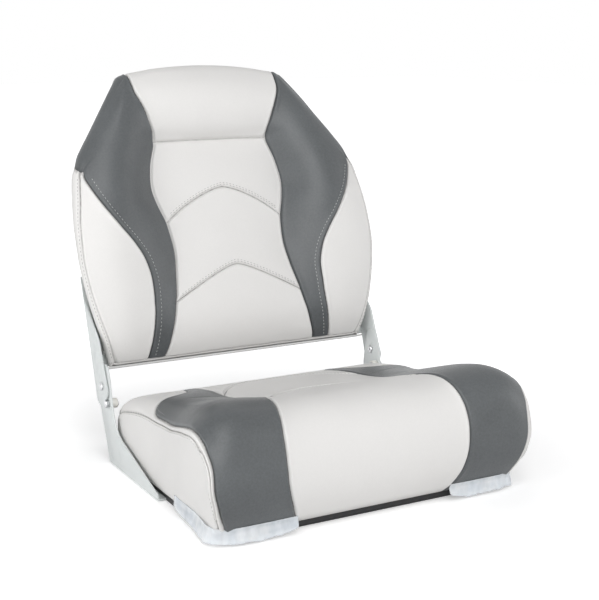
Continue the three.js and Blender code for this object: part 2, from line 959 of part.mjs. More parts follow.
function seatPan() {
  const lipTop = seatFootZ - clearance;
  const tray = cut(
    joined(
      plateAlongZ(panOutline(0), 0, panTop),
      plateAlongZ(panOutline(panLipInset - panInset), 0, lipTop),
    ),
    plateAlongZ(panOutline(panWall), -overrun, panTop - panDeck + overrun),
  );
  const ribTop = panTop - panDeck + weld;
  const pitchAcross = (2 * panHalfWidth) / (ribCountAcross + 1);
  const pitchAlong = (panRearY - panFrontY) / (ribCountAlong + 1);
  const across = Array.from({ length: ribCountAcross }, (_, i) => {
    const x = (i - (ribCountAcross - 1) / 2) * pitchAcross;
    const [from, to] = [panFrontY + panWall - weld, panRearY - panWall + weld];
    return box([x - ribThickness / 2, from, ribRise], [x + ribThickness / 2, to, ribTop]);
  });
  const reach = panHalfWidth - panWall + weld;
  const along = Array.from({ length: ribCountAlong }, (_, i) => {
    const y = (panFrontY + panRearY) / 2 + (i - (ribCountAlong - 1) / 2) * pitchAlong;
    return box([-reach, y - ribThickness / 2, ribRise], [reach, y + ribThickness / 2, ribTop]);
  });
  const rail = common(
    plateAlongZ(panOutline(0), 0, panTop),
    box(
      [panHalfWidth - railWidth, flangeFrontY, steel + clearance],
      [panHalfWidth + overrun, flangeRearY, ribTop],
    ),
  );
  const pad = plateAlongZ(
    mirroredShape([
      [padHalf, -padHalf, padRound],
      [padHalf, padHalf, padRound],
    ]),
    0,
    padThickness,
  );
  const bosses = patternPlaces().map(([x, y]) => turned(rod(bossRadius, weld, ribTop)).translate(x, y, 0));
  const drains = drainCellShares.flatMap((acrossShare) =>
    drainCellShares.map((alongShare) => {
      const [x, y] = [acrossShare * pitchAcross + drainInset, alongShare * pitchAlong];
      return box(
        [x - drainWidth / 2, y - drainLength / 2, -overrun],
        [x + drainWidth / 2, y + drainLength / 2, padThickness + overrun],
      );
    }),
  );
  const flangePocket = box(
    [earOuter - bottomFlangeWidth - clearance, flangeFrontY - clearance, -overrun],
    [earOuter + overrun, flangeRearY + clearance, steel + clearance],
  );
  const nutSeat = [
    [0, -overrun],
    [boltHoleRadius, -overrun],
    [boltHoleRadius, panTop - nutFlangeThickness - nutBarrelLength - clearance],
    [nutBarrelRadius + clearance, panTop - nutFlangeThickness - nutBarrelLength - clearance],
    [nutBarrelRadius + clearance, panTop - nutFlangeThickness - clearance],
    [nutFlangeRadius + clearance, panTop - nutFlangeThickness - clearance],
    [nutFlangeRadius + clearance, panTop + overrun],
    [0, panTop + overrun],
  ];
  const nutSeats = patternPlaces().map(([x, y]) => turned(nutSeat, nutSides).translate(x, y, 0));
  const screwHole = rod(screwShankRadius + clearance, 0, screwLength + clearance * 2);
  const screwHoles = [-screwLineX, screwLineX].flatMap((x) =>
    panScrewPlaces().map((y) => turned(screwHole, screwSides).translate(x, y, 0)),
  );
  const solid = joined(tray, ...across, ...along, rail, mirrored(rail), pad, ...bosses);
  return cut(solid, flangePocket, mirrored(flangePocket), ...drains, ...nutSeats, ...screwHoles);
}

function pedestalNuts() {
  const seatZ = panTop - nutFlangeThickness;
  const nut = cut(
    joined(
      turned(rod(nutFlangeRadius, seatZ, panTop), nutSides),
      turned(rod(nutBarrelRadius, seatZ - nutBarrelLength, seatZ + weld), nutSides),
    ),
    turned(rod(nutBoreRadius, 0, panTop + overrun), nutSides),
  );
  return patternPlaces().map(([x, y]) => nut.clone().translate(x, y, 0));
}

addPart(seat, "seat_pan", seatPan(), panPlastic);
addCopies(seat, "pedestal_nut", pedestalNuts(), brightSteel);

// Lower bracket: an ear for the pivot, a sloping gusset and two turned edges

function countersink(gap) {
  return [
    [0, clearance - gap - overrun],
    [screwHeadRadius + gap, clearance - gap - overrun],
    [screwHeadRadius + gap, clearance],
    [screwShankRadius + gap, clearance + screwHeadHeight],
    [screwShankRadius + gap, screwLength],
    [0, screwLength],
  ];
}

function bracketScrews() {
  const screw = turned(
    [
      [0, clearance],
      [screwHeadRadius, clearance],
      [screwShankRadius, clearance + screwHeadHeight],
      [screwShankRadius, screwLength],
      [0, screwLength],
    ],
    screwSides,
  );
  return [-screwLineX, screwLineX].flatMap((x) =>
    panScrewPlaces().map((y) => screw.clone().translate(x, y, 0)),
  );
}

// An L section in the XZ plane whose outer corner is rounded
function bracketSection() {
  return roundedShape([
    [earOuter - bottomFlangeWidth, 0, 0],
    [earOuter, 0, steelBend],
    [earOuter, pivotZ + earTopZ + overrun, 0],
    [earInner, pivotZ + earTopZ + overrun, 0],
    [earInner, steel, steelBend - steel],
    [earOuter - bottomFlangeWidth, steel, 0],
  ]);
}

function lowerBracket() {
  const side = roundedShape([
    [bracketToeY, -pivotZ, 0],
    [bracketRearY, -pivotZ, 0],
    [bracketHeelY, bracketHeelZ, steelBend],
    [earRearTopY, earTopZ, earCorner],
    [earFrontTopY, earTopZ, earCorner],
    [earFrontY, earFrontZ, steelBend],
    [earNeckY, earNeckZ, steelBend],
    [gussetKneeY, gussetKneeZ, gussetKneeRound],
    [bracketToeY, gussetToeRise - pivotZ, steelBend],
  ]);
  const reach = bottomFlangeWidth + overrun;
  const sideCut = plateAlongX(side, earOuter - reach, reach + overrun).translate(0, pivotY, pivotZ);
  const lengthY = flangeRearY - flangeFrontY + pivotY;
  const angle = plateAlongY(bracketSection(), flangeFrontY - overrun, lengthY);
  const slope = new THREE.Vector2(bracketHeelY - bracketRearY, bracketHeelZ + pivotZ);
  const edgeY = (drop) => bracketRearY + (slope.x * (pivotZ - drop)) / slope.y;
  const rearFlange = plateAlongX(
    roundedShape([
      [edgeY(rearFlangeFootDrop) - steel, -rearFlangeFootDrop, 0],
      [edgeY(rearFlangeFootDrop), -rearFlangeFootDrop, 0],
      [edgeY(rearFlangeTopDrop), -rearFlangeTopDrop, 0],
      [edgeY(rearFlangeTopDrop) - steel, -rearFlangeTopDrop, 0],
    ]),
    earOuter - rearFlangeWidth,
    rearFlangeWidth - weld,
  ).translate(0, pivotY, pivotZ);
  const pivotHole = turnedAlongX(
    rod(rivetRadius + clearance, earInner - overrun, earOuter + overrun), pivotY, pivotZ);
  const stopHole = turnedAlongX(
    rod(stopRadius + clearance, earInner - overrun, earOuter + overrun), pivotY + stopY, pivotZ + stopZ);
  const screwHoles = panScrewPlaces().map((y) =>
    turned(countersink(clearance), screwSides).translate(screwLineX, y, 0),
  );
  return cut(joined(common(angle, sideCut), rearFlange), pivotHole, stopHole, ...screwHoles);
}

function pivotRivet() {
  const [inner, outer] = [earInner - clearance, hingeHalfSpan + clearance];
  return turnedAlongX(
    [
      [0, inner - rivetRollHeight + rivetBoreDepth],
      [rivetBoreRadius, inner - rivetRollHeight + rivetBoreDepth],
      [rivetBoreRadius, inner - rivetRollHeight],
      [rivetRollRadius * 0.8, inner - rivetRollHeight],
      [rivetRollRadius, inner - rivetRollHeight / 2],
      [rivetRollRadius, inner],
      [rivetRadius, inner],
      [rivetRadius, outer],
      [rivetHeadRadius, outer],
      [rivetHeadRadius * 0.9, outer + rivetHeadHeight / 2],
      [rivetHeadRadius * 0.6, outer + rivetHeadHeight * 0.85],
      [0, outer + rivetHeadHeight],
    ],
    pivotY,
    pivotZ,
  );
}

function pivotWasher() {
  const bore = rod(rivetRadius + clearance, washerOuter - washerThickness - overrun, washerOuter + overrun);
  return cut(
    turnedAlongX(rod(washerRadius, washerOuter - washerThickness, washerOuter), pivotY, pivotZ),
    turnedAlongX(bore, pivotY, pivotZ),
  );
}

const spacerInner = earInner - clearance - spacerLength;

function stopPin() {
  const [inner, outer] = [spacerInner - clearance, hingeHalfSpan + clearance];
  return turnedAlongX(
    [
      [0, inner - stopHeadHeight],
      [stopHeadRadius * 0.8, inner - stopHeadHeight],
      [stopHeadRadius, inner - stopHeadHeight / 2],
      [stopHeadRadius, inner],
      [stopRadius, inner],
      [stopRadius, outer],
      [stopHeadRadius, outer],
      [stopHeadRadius, outer + stopHeadHeight / 2],
      [stopHeadRadius * 0.8, outer + stopHeadHeight],
      [0, outer + stopHeadHeight],
    ],
    pivotY + stopY,
    pivotZ + stopZ,
  );
}

function stopSpacer() {
  const [y, z] = [pivotY + stopY, pivotZ + stopZ];
  return cut(
    turnedAlongX(rod(spacerRadius, spacerInner, spacerInner + spacerLength), y, z),
    turnedAlongX(rod(stopRadius + clearance, spacerInner - overrun, earInner), y, z),
  );
}

addPair(seat, "lower_bracket", lowerBracket(), paintedSteel);
addCopies(seat, "bracket_screw", bracketScrews(), brightSteel);
addPair(seat, "pivot_rivet", pivotRivet(), brightSteel);
addPair(seat, "pivot_washer", pivotWasher(), nylon);
addPair(seat, "stop_pin", stopPin(), brightSteel);
addPair(seat, "stop_spacer", stopSpacer(), nylon);

// Corner guards: a thin film that stands round each lower front corner

function cornerGuard() {
  const inner = guardPathRows.map(([inset, y]) => new THREE.Vector2(hingeHalfSpan - inset, y));
  const outer = inner.map((point, i) => {
    const run = inner[Math.min(inner.length - 1, i + 1)].clone().sub(inner[Math.max(0, i - 1)]);
    const away = new THREE.Vector2(run.y, -run.x).setLength(guardThickness);
    return away.add(point);
  });
  return plateAlongZ(new THREE.Shape([...inner, ...outer.reverse()]), guardFloor, guardTop - guardFloor);
}

addPair(seat, "corner_guard", cornerGuard(), film);

// Back cushion

const backHalfWidth = widthCurve(backFrontInsetRows);
const backRearHalfWidth = widthCurve(backRearInsetRows);
const backInnerSeam = widthCurve(backInnerSeamInsetRows);
const backOuterSeamCurve = widthCurve(backOuterSeamInsetRows);
const centreDepth = smoothCurve(centreDepthRows);
const valleyDepth = smoothCurve(valleyDepthRows);
const wingDepth = smoothCurve(wingDepthRows);
const edgeDepth = smoothCurve(edgeDepthRows);
const wingCrest = widthCurve(wingCrestInsetRows);
const shellRear = steel + clearance; // forward from the rear plane
const shellFront = shellRear + shellThickness;
const coverRear = shellFront + clearance;

// Leaning frame: x across, up the back as drawn, forward from its rear plane
const backStretchShare = backHeight / backDrawnHeight;

function backLevel(up) {
  return pivotToBack + up * backStretchShare;
}

function backPoint(x, up, forward) {
  return new THREE.Vector3(x, pivotToRear - forward, backLevel(up));
}

function faceEdge(up) {
  return backHalfWidth(up) - edgeInset;
}

function backOuterSeam(up) {
  return Math.min(backOuterSeamCurve(up), faceEdge(up) - lightTipWidth);
}

// How far the front of the cushion stands forward of the rear plane
function backFront(x, up) {
  const valley = backInnerSeam(up);
  const crest = wingCrest(up);
  if (x <= valley) return THREE.MathUtils.lerp(centreDepth(up), valleyDepth(up), (x / valley) ** 2);
  if (x <= crest) {
    const k = (x - valley) / (crest - valley);
    return THREE.MathUtils.lerp(valleyDepth(up), wingDepth(up), Math.sin(k * 90 * degree));
  }
  const k = Math.min(1, (x - crest) / (faceEdge(up) - crest));
  return THREE.MathUtils.lerp(edgeDepth(up), wingDepth(up), Math.cos(k * 90 * degree));
}

function topEdge(x) {
  const reach = x / backHalfWidth(backCornerHeight);
  return THREE.MathUtils.lerp(backDrawnHeight, backCornerHeight, reach ** 2);
}

function chevron(apex, end, reach) {
  return THREE.MathUtils.lerp(apex, end, reach ** (1 / chevronBowShare));
}

function backNetPoint(column, row) {
  const seamsAt = (up) => [0, backInnerSeam(up), backOuterSeam(up), faceEdge(up)];
  const xAt = (up) => {
    const seams = seamsAt(up);
    return THREE.MathUtils.lerp(seams[column.band], seams[column.band + 1], column.share);
  };
  const reach = column.band === 0 ? column.share : 1;
  const bounds = [
    0,
    chevron(lowerChevronApex, lowerChevronEnd, reach),
    chevron(upperChevronApex, upperChevronEnd, reach),
    headSeamHeight,
    topEdge(xAt(backCornerHeight - edgeInset)) - edgeInset,
  ];
  const up = THREE.MathUtils.lerp(bounds[row.band], bounds[row.band + 1], row.share);
  return backPoint(column.sign * xAt(up), up, backFront(xAt(up), up));
}

const backColumns = columnLines(backColumnShares);
const backRows = rowLines(backRowShares);
const backFace = backColumns.map((column) => backRows.map((row) => backNetPoint(column, row)));

// The rim of the face runs up its right-hand edge, over the top and down the left-hand edge
const rim = [
  ...backFace[0].slice(0, -1),
  ...backFace.map((line) => line[line.length - 1]),
  ...backFace[backFace.length - 1].slice(0, -1).reverse(),
];

// Away from the face: straight to the side at both ends, else square to the rim
function rimOut(k) {
  if (k === 0) return new THREE.Vector3(1, 0, 0);
  if (k === rim.length - 1) return new THREE.Vector3(-1, 0, 0);
  const run = rim[Math.min(rim.length - 1, k + 1)].clone().sub(rim[Math.max(0, k - 1)]);
  return new THREE.Vector3(run.z, 0, -run.x).normalize();
}

// How far the rear edge lies inside the front one at a point of the rim
function rimDraw(point) {
  const up = (point.z - pivotToBack) / backStretchShare;
  return Math.sign(point.x) * Math.max(0, backHalfWidth(up) - backRearHalfWidth(up));
}

// The cover turns from each point of the rim round the edge to the rear, which is narrower
const backTurn = rim.map((point, k) => {
  const front = pivotToRear - point.y;
  const turn = [
    [edgeInset, 0, front - edgeInset],
    [edgeInset + edgeSwell, crestDrawShare, THREE.MathUtils.lerp(coverRear, front, crestMidShare)],
    [edgeInset, 1, coverRear + rearRound],
    [-edgeReturn, 1, coverRear],
  ];
  const around = turn.map(([away, drawShare, forward]) => {
    const turned = point.clone().addScaledVector(rimOut(k), away).setY(pivotToRear - forward);
    turned.x -= rimDraw(point) * drawShare;
    return turned;
  });
  return [point, ...around];
});

function backFaceName(i, j) {
  const { band, sign } = cellColumn(backColumns, i);
  const row = backRows[j + 1].band;
  if (band === 2 && j < darkCornerRow) return `back_side_panel_${handOf(sign)}`;
  if (band > 0) return `back_dark_panel_${handOf(sign)}`;
  return ["back_lower_panel", "back_middle_panel", "back_upper_panel", "head_panel"][row];
}

function backTurnName(k) {
  const side = backRows.length - 1;
  const across = backColumns.length - 1;
  if (k < side) return `back_${k < darkCornerRow ? "side" : "dark"}_boxing_right`;
  if (k >= side + across) {
    return `back_${2 * side + across - 1 - k < darkCornerRow ? "side" : "dark"}_boxing_left`;
  }
  const { band, sign } = cellColumn(backColumns, k - side);
  return band === 0 ? "back_top_boxing" : `back_dark_boxing_${handOf(sign)}`;
}

// Lower edge: the cover runs straight back under the foam
const lowerRear = backFace.map((line, i) => {
  if (i === 0) return backTurn[0][4];
  if (i === backFace.length - 1) return backTurn[backTurn.length - 1][4];
  const share = line[0].x / backFace[0][0].x;
  return backPoint(share * backTurn[0][4].x, 0, coverRear);
});

function backCells() {
  const net = [];
  addCells(net, backFace, backFaceName, true);
  addCells(net, backTurn, backTurnName, true);
  addCells(net, backFace.map((line, i) => [line[0], lowerRear[i]]), () => "back_bottom_boxing");
  const [right, left] = [backTurn[0], backTurn[backTurn.length - 1]];
  [
    [right[0], right[3], right[2], right[1]],
    [right[0], right[4], right[3]],
    [left[0], left[1], left[2], left[3]],
    [left[0], left[3], left[4]],
  ].forEach((corners) => net.push({ corners, panel: "back_bottom_boxing" }));
  return net;
}

const backNet = backCells();
const backFacts = netFacts(backNet);

// Screws of the hinge arms and the bosses of the shell that they enter
const armScrewX = hingeHalfSpan - screwInset;

function armScrewPlaces() {
  return armScrewShares.map((share) => pivotToBack + share * armFlangeLength);
}

// A turned shape about an axis that points forward out of the rear plane at each screw
function atArmScrews(profile, signs) {
  return signs.flatMap((sign) =>
    armScrewPlaces().map((z) =>
      turned(profile, screwSides).rotateX(90 * degree).translate(sign * armScrewX, pivotToRear, z),
    ),
  );
}

const bossRoom = rod(shellBossRadius + clearance, 0, shellBossDepth + clearance);

const backPanelNames = [...new Set(backNet.map((cell) => cell.panel))];
backPanelNames.forEach((name) => {
  const material = name.includes("dark") ? darkVinyl : lightVinyl;
  const panel = sewnPanel(backNet, backFacts, name);
  const notched = name.startsWith("back_side_boxing");
  addPart(back, name, notched ? cut(panel, ...atArmScrews(bossRoom, [1, -1])) : panel, material);
});

function backFoam() {
  const below = box(
    [-backHeight, pivotToRear - backHeight, -overrun],
    [backHeight, pivotToRear, pivotToBack + coreFoot],
  );
  return cut(cushionCore(backNet, backFacts, coreDepth), below, ...atArmScrews(bossRoom, [1, -1]));
}

addPart(back, "back_foam", backFoam(), foam);

// Rear shell

function backShell() {
  const points = rim.map((point, k) => {
    const { x, z } = point.clone().addScaledVector(rimOut(k), edgeInset - shellInset);
    return new THREE.Vector2(x - rimDraw(point), z);
  });
  const foot = pivotToBack - shellLipDrop;
  points.unshift(new THREE.Vector2(points[0].x, foot));
  points.push(new THREE.Vector2(points[points.length - 1].x, foot));
  const plate = plateAlongY(new THREE.Shape(points), pivotToRear - shellFront, shellThickness);
  const lip = box(
    [shellLipInset - hingeHalfSpan, pivotToRear - shellLipDepth, foot],
    [hingeHalfSpan - shellLipInset, pivotToRear - shellRear, foot + shellLipThickness],
  );
  const field = plateAlongY(
    mirroredShape([
      [hingeHalfSpan - fieldFootInset, backLevel(fieldFoot), fieldRound],
      [hingeHalfSpan - fieldShoulderInset, backLevel(fieldShoulder), fieldRound],
      [hingeHalfSpan - fieldTopInset, backLevel(fieldTop), fieldRound],
    ]),
    pivotToRear - shellRear - weld,
    fieldRise + weld,
  );
  const fieldFace = pivotToRear - shellRear + fieldRise;
  const grooves = Array.from({ length: grooveCount }, (_, i) => {
    const x = (i - (grooveCount - 1) / 2) * groovePitch;
    return box(
      [x - grooveWidth / 2, fieldFace - grooveDepth, backLevel(grooveFoot)],
      [x + grooveWidth / 2, fieldFace + overrun, backLevel(grooveTop)],
    );
  });
  const bosses = atArmScrews(rod(shellBossRadius, shellFront - weld, shellBossDepth), [1, -1]);
  const holes = atArmScrews(rod(screwShankRadius + clearance, 0, screwLength + clearance), [1, -1]);
  return cut(joined(plate, lip, field, ...bosses), ...grooves, ...holes);
}

function armScrews() {
  const under = -clearance;
  const profile = [
    [0, under - screwHeadHeight],
    [screwHeadRadius * screwCrownShare, under - screwHeadHeight],
    [screwHeadRadius, under - screwHeadHeight / 2],
    [screwHeadRadius, under],
    [screwShankRadius, under],
    [screwShankRadius, screwLength],
    [0, screwLength],
  ];
  return atArmScrews(profile, [-1, 1]);
}

// Hinge arm: an angle section whose plate carries the pivot and stops against the pin

function armSide() {
  const flangeTop = pivotToBack + armFlangeLength;
  const rearEdge = pivotToRear - armRearStep;
  const heelZ = -Math.sqrt(armHeelRadius ** 2 - rearEdge ** 2);
  const angle = -reclineAngle * degree;
  const pin = new THREE.Vector2(stopY, stopZ).rotateAround(new THREE.Vector2(0, 0), -angle);
  const stepY = pin.x + stopRadius + clearance;
  const arc = (radius, from, to) => {
    const shape = new THREE.Path().absarc(0, 0, radius, from, to, true);
    return shape.getPoints(arcSteps).map(({ x, y }) => [x, y, 0]);
  };
  const lobeFoot = -Math.sqrt(armLobeRadius ** 2 - armFrontLow ** 2);
  return roundedShape([
    [pivotToRear + overrun, flangeTop, 0],
    [pivotToRear + overrun, pivotToBack, 0],
    [rearEdge, pivotToBack, 0],
    ...arc(armHeelRadius, Math.atan2(heelZ, rearEdge), -Math.acos(stepY / armHeelRadius)),
    ...arc(armLobeRadius, -Math.acos(stepY / armLobeRadius), Math.atan2(lobeFoot, armFrontLow)),
    [armFrontMid, armFrontMidZ, armCorner],
    [armFrontHigh, armTaperStart, armCorner],
    [pivotToRear - steelBend, armTaperEnd, 0],
    [pivotToRear - steelBend, flangeTop, 0],
  ]);
}

function hingeArm() {
  const low = -armHeelRadius - overrun;
  const high = pivotToBack + armFlangeLength + overrun;
  const section = roundedShape([
    [hingeHalfSpan, -armHeelRadius, 0],
    [hingeHalfSpan, pivotToRear, steelBend],
    [hingeHalfSpan - armFlangeWidth, pivotToRear, 0],
    [hingeHalfSpan - armFlangeWidth, pivotToRear - steel, 0],
    [armInner, pivotToRear - steel, steelBend - steel],
    [armInner, -armHeelRadius, 0],
  ]);
  const flangeInner = hingeHalfSpan - armFlangeWidth;
  const rearView = roundedShape([
    [hingeHalfSpan + overrun, low, 0],
    [hingeHalfSpan + overrun, high - overrun, 0],
    [flangeInner, high - overrun, armCorner],
    [flangeInner, pivotToBack, armCorner],
    [armInner - weld, pivotToBack, 0],
    [armInner - weld, low, 0],
  ]);
  const width = armFlangeWidth + overrun * 2;
  const arm = common(
    plateAlongZ(section, low, high - low),
    plateAlongX(armSide(), hingeHalfSpan + overrun - width, width),
    plateAlongY(rearView, -armHeelRadius - overrun, armHeelRadius + pivotToRear + overrun * 2),
  );
  const pivotHole = rod(rivetRadius + clearance, armInner - overrun, hingeHalfSpan + overrun);
  const screwHole = rod(screwShankRadius + clearance, -overrun, steel + overrun);
  return cut(arm, turnedAlongX(pivotHole, 0, 0), ...atArmScrews(screwHole, [1]));
}

addPart(back, "back_shell", backShell(), shellPlastic);
addPair(back, "hinge_arm", hingeArm(), paintedSteel);
addCopies(back, "arm_screw", armScrews(), brightSteel);

const assembly = new THREE.Group();
assembly.add(seat, back);
assembly.updateMatrixWorld(true);

export default assembly;
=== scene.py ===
# %% [markdown]
# # A folding boat seat
#
# The seat has two padded halves. The lower cushion sits on a black moulded pan, and the high
# back is held by a moulded shell and folds forward on riveted steel arms. Every dimension comes
# from the imported CAD model, which is loaded first. Blender adds what the eye looks for: stuffed
# covers, sewn seams, thread, leather grain, paint and soft studio light.

from math import cos, exp, pi, radians, sin, sqrt

import bmesh
import bpy
import numpy as np
from mathutils import Matrix, Vector, noise
from mathutils.bvhtree import BVHTree
from mathutils.kdtree import KDTree


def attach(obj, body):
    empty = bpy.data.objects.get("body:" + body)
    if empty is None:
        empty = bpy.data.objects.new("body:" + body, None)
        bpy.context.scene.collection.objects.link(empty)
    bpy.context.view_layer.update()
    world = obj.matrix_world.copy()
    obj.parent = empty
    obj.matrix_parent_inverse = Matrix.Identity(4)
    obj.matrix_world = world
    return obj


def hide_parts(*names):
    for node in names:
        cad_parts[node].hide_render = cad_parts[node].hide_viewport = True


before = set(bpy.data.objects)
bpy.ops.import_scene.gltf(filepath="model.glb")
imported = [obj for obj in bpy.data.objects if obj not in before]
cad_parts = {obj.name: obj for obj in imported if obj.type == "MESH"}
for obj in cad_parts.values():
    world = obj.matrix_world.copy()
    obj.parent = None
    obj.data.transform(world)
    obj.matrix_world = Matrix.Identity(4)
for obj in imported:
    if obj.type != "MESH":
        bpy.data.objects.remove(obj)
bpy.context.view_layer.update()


# %% [markdown]
# ## The camera
#
# The photograph was taken from the front left with a long lens, a little above the seat. A long
# lens keeps the two sides of the seat nearly parallel, so the angle of view matters as much as
# the place of the camera. Depth of field stays off, because every edge in the photograph is sharp.
# The Standard view transform shows a colour as it was written.

# %% Place the camera
def linked_object(name, data):
    made = bpy.data.objects.new(name, data)
    bpy.context.scene.collection.objects.link(made)
    return made


camera_data = bpy.data.cameras.new("studio_camera")
camera_data.sensor_width = 36.0
camera_data.lens = 75.6
camera = linked_object("studio_camera", camera_data)
camera.location = (-0.7668, -1.3790, 0.5652)
camera.rotation_euler = (radians(78.1), 0.0, radians(-28.8))
bpy.context.scene.camera = camera
bpy.context.scene.view_settings.view_transform = "Standard"
print("camera", tuple(round(value, 3) for value in camera.location))

# %% [markdown]
# ## Shader maths in Python
#
# Materials are easier to read as formulas than as chains of nodes. The class below wraps one
# socket, so that `1 - mask` or `mask * 0.3` adds the Math nodes by itself. It has the reflected
# forms of each operator too, because Python asks the right-hand side when a plain number stands
# on the left. Colours go through Mix nodes, since a Math node would turn them grey.

# %% A socket with arithmetic
class Field:
    def __init__(self, finish, socket):
        self.finish = finish
        self.socket = socket

    def _math(self, operation, first, second):
        return self.finish.node("ShaderNodeMath", {"operation": operation}, {0: first, 1: second})

    def __add__(self, other):
        return self._math("ADD", self, other)

    def __radd__(self, other):
        return self._math("ADD", other, self)

    def __sub__(self, other):
        return self._math("SUBTRACT", self, other)

    def __rsub__(self, other):
        return self._math("SUBTRACT", other, self)

    def __mul__(self, other):
        return self._math("MULTIPLY", self, other)

    def __rmul__(self, other):
        return self._math("MULTIPLY", other, self)

    def __truediv__(self, other):
        return self._math("DIVIDE", self, other)

    def __rtruediv__(self, other):
        return self._math("DIVIDE", other, self)

    def __pow__(self, other):
        return self._math("POWER", self, other)

    def __rpow__(self, other):
        return self._math("POWER", other, self)


# %% [markdown]
# A finish is one material. Its `node` method is the only way a node is made: settings first, such
# as an operation, then the values and links of its sockets. The helpers under it name the few
# nodes that all the finishes share.

# %% A finish builder
class Finish:
    def __init__(self, name, world=None):
        self.material = world or bpy.data.materials.new(name)
        self.material.use_nodes = True
        self.tree = self.material.node_tree
        self.tree.nodes.clear()

    def node(self, kind, settings=None, values=None, out=0):
        made = self.tree.nodes.new(kind)
        for name, value in (settings or {}).items():
            setattr(made, name, value)
        for name, value in (values or {}).items():
            socket = made.inputs[name]
            if isinstance(value, Field):
                self.tree.links.new(value.socket, socket)
            elif hasattr(socket.default_value, "__len__") and len(socket.default_value) == 4:
                socket.default_value = (*value, 1.0) if len(value) == 3 else value
            else:
                socket.default_value = value
        return Field(self, made.outputs[out]) if len(made.outputs) else made

    def place(self):
        return self.node("ShaderNodeTexCoord", out=3)

    def noise(self, size_mm, detail=2.0, roughness=0.5, where=None):
        values = {"Vector": where or self.place(), "Scale": 1000.0 / size_mm}
        values.update({"Detail": detail, "Roughness": roughness})
        return self.node("ShaderNodeTexNoise", {}, values)

    def cells(self, size_mm):
        values = {"Vector": self.place(), "Scale": 1000.0 / size_mm}
        return self.node("ShaderNodeTexVoronoi", {"feature": "DISTANCE_TO_EDGE"}, values)

    def clamp(self, value, low, high):
        values = {"Value": value, "From Min": low, "From Max": high}
        return self.node("ShaderNodeMapRange", {"clamp": True}, values)

    def mix(self, share, first, second):
        values = {0: share, 6: first, 7: second}
        return self.node("ShaderNodeMix", {"data_type": "RGBA"}, values, out=2)

    def attribute(self, name):
        return self.node("ShaderNodeAttribute", {"attribute_name": name}, out=2)

    def bump(self, height, depth_mm, strength=1.0, under=None):
        values = {"Height": height, "Distance": depth_mm / 1000.0, "Strength": strength}
        if under is not None:
            values["Normal"] = under
        return self.node("ShaderNodeBump", {}, values)

    def finish(self, colour, roughness, more):
        values = {"Base Color": colour, "Roughness": roughness, **more}
        shader = self.node("ShaderNodeBsdfPrincipled", {}, values)
        self.node("ShaderNodeOutputMaterial", {}, {"Surface": shader})
        return self.material


def scaled(tone, factor):
    return tuple(channel * factor for channel in tone)


def grey(level):
    return (level, level, level)


# %% [markdown]
# ## Floor, backdrop and lamps
#
# A catalogue photograph has a paper sweep lit to white. The floor here is a pale sheet that adds
# a little light of its own for the camera alone, more of it further from the seat. Where the lamps
# reach it, it passes white, and where the seat keeps the light off, the shadow stays. Glossy and
# transmission rays see it the same way, so that steel and film mirror a white studio.

# %% Floor
def camera_like_ray(finish):
    seen = finish.node("ShaderNodeLightPath", out="Is Camera Ray")
    mirrored = finish.node("ShaderNodeLightPath", out="Is Glossy Ray")
    through = finish.node("ShaderNodeLightPath", out="Is Transmission Ray")
    return finish.clamp(seen + mirrored + through, 0.0, 1.0)


paper = Finish("studio_paper")
paper_place = {0: paper.place()}
from_seat = paper.node("ShaderNodeVectorMath", {"operation": "LENGTH"}, paper_place, "Value")
near_glow = paper.mix(paper.clamp(from_seat, 0.28, 0.8), grey(0.31), grey(0.95))
paper_glow = paper.mix(camera_like_ray(paper), grey(0.0), near_glow)
paper_mottle = paper.mix(paper.noise(300.0), grey(0.88), grey(0.9))
paper_light = {"Emission Color": paper_glow, "Emission Strength": 1.0}
paper.finish(paper_mottle, 0.9, {"Specular IOR Level": 0.1, **paper_light})

floor_mesh = bpy.data.meshes.new("floor")
sheet = bmesh.new()
bmesh.ops.create_grid(sheet, x_segments=2, y_segments=2, size=9.0)
bmesh.ops.translate(sheet, verts=sheet.verts, vec=(0.0, 4.0, -0.0006))
sheet.to_mesh(floor_mesh)
sheet.free()
floor_mesh.materials.append(paper.material)
linked_object("floor", floor_mesh)
print("floor at z =", round(floor_mesh.vertices[0].co.z, 4))

# %% [markdown]
# The world gives a soft light from all round, a little weaker from straight above, because the
# photograph shows the front faces brighter than the flat top of the seat. The key lamp is a large
# panel at the front. A smaller one, high up, draws the soft highlight along the crest of the front
# roll, and a panel on each side keeps the edges readable. Together they light a front face at
# about the level at which its colour renders as it is written.

# %% Lamps
world = bpy.data.worlds.new("studio_world")
bpy.context.scene.world = world
studio = Finish("studio_world", world)
sky_place = {"Vector": studio.node("ShaderNodeTexCoord")}
height = studio.node("ShaderNodeSeparateXYZ", {}, sky_place, "Z")
sky = studio.mix(studio.clamp(height, 0.25, 0.95), (0.43, 0.43, 0.435), (0.16, 0.162, 0.166))
even_light = studio.mix(camera_like_ray(studio), sky, grey(1.0))
backdrop = studio.node("ShaderNodeBackground", {}, {"Color": even_light})
studio.node("ShaderNodeOutputWorld", {}, {"Surface": backdrop})


def panel_lamp(name, place, target, size, power):
    data = bpy.data.lights.new(name, "AREA")
    data.shape = "SQUARE"
    data.size = size
    data.energy = power
    lamp = linked_object(name, data)
    lamp.location = place
    lamp.rotation_euler = (Vector(target) - Vector(place)).to_track_quat("-Z", "Y").to_euler()
    print(name, power, "W")


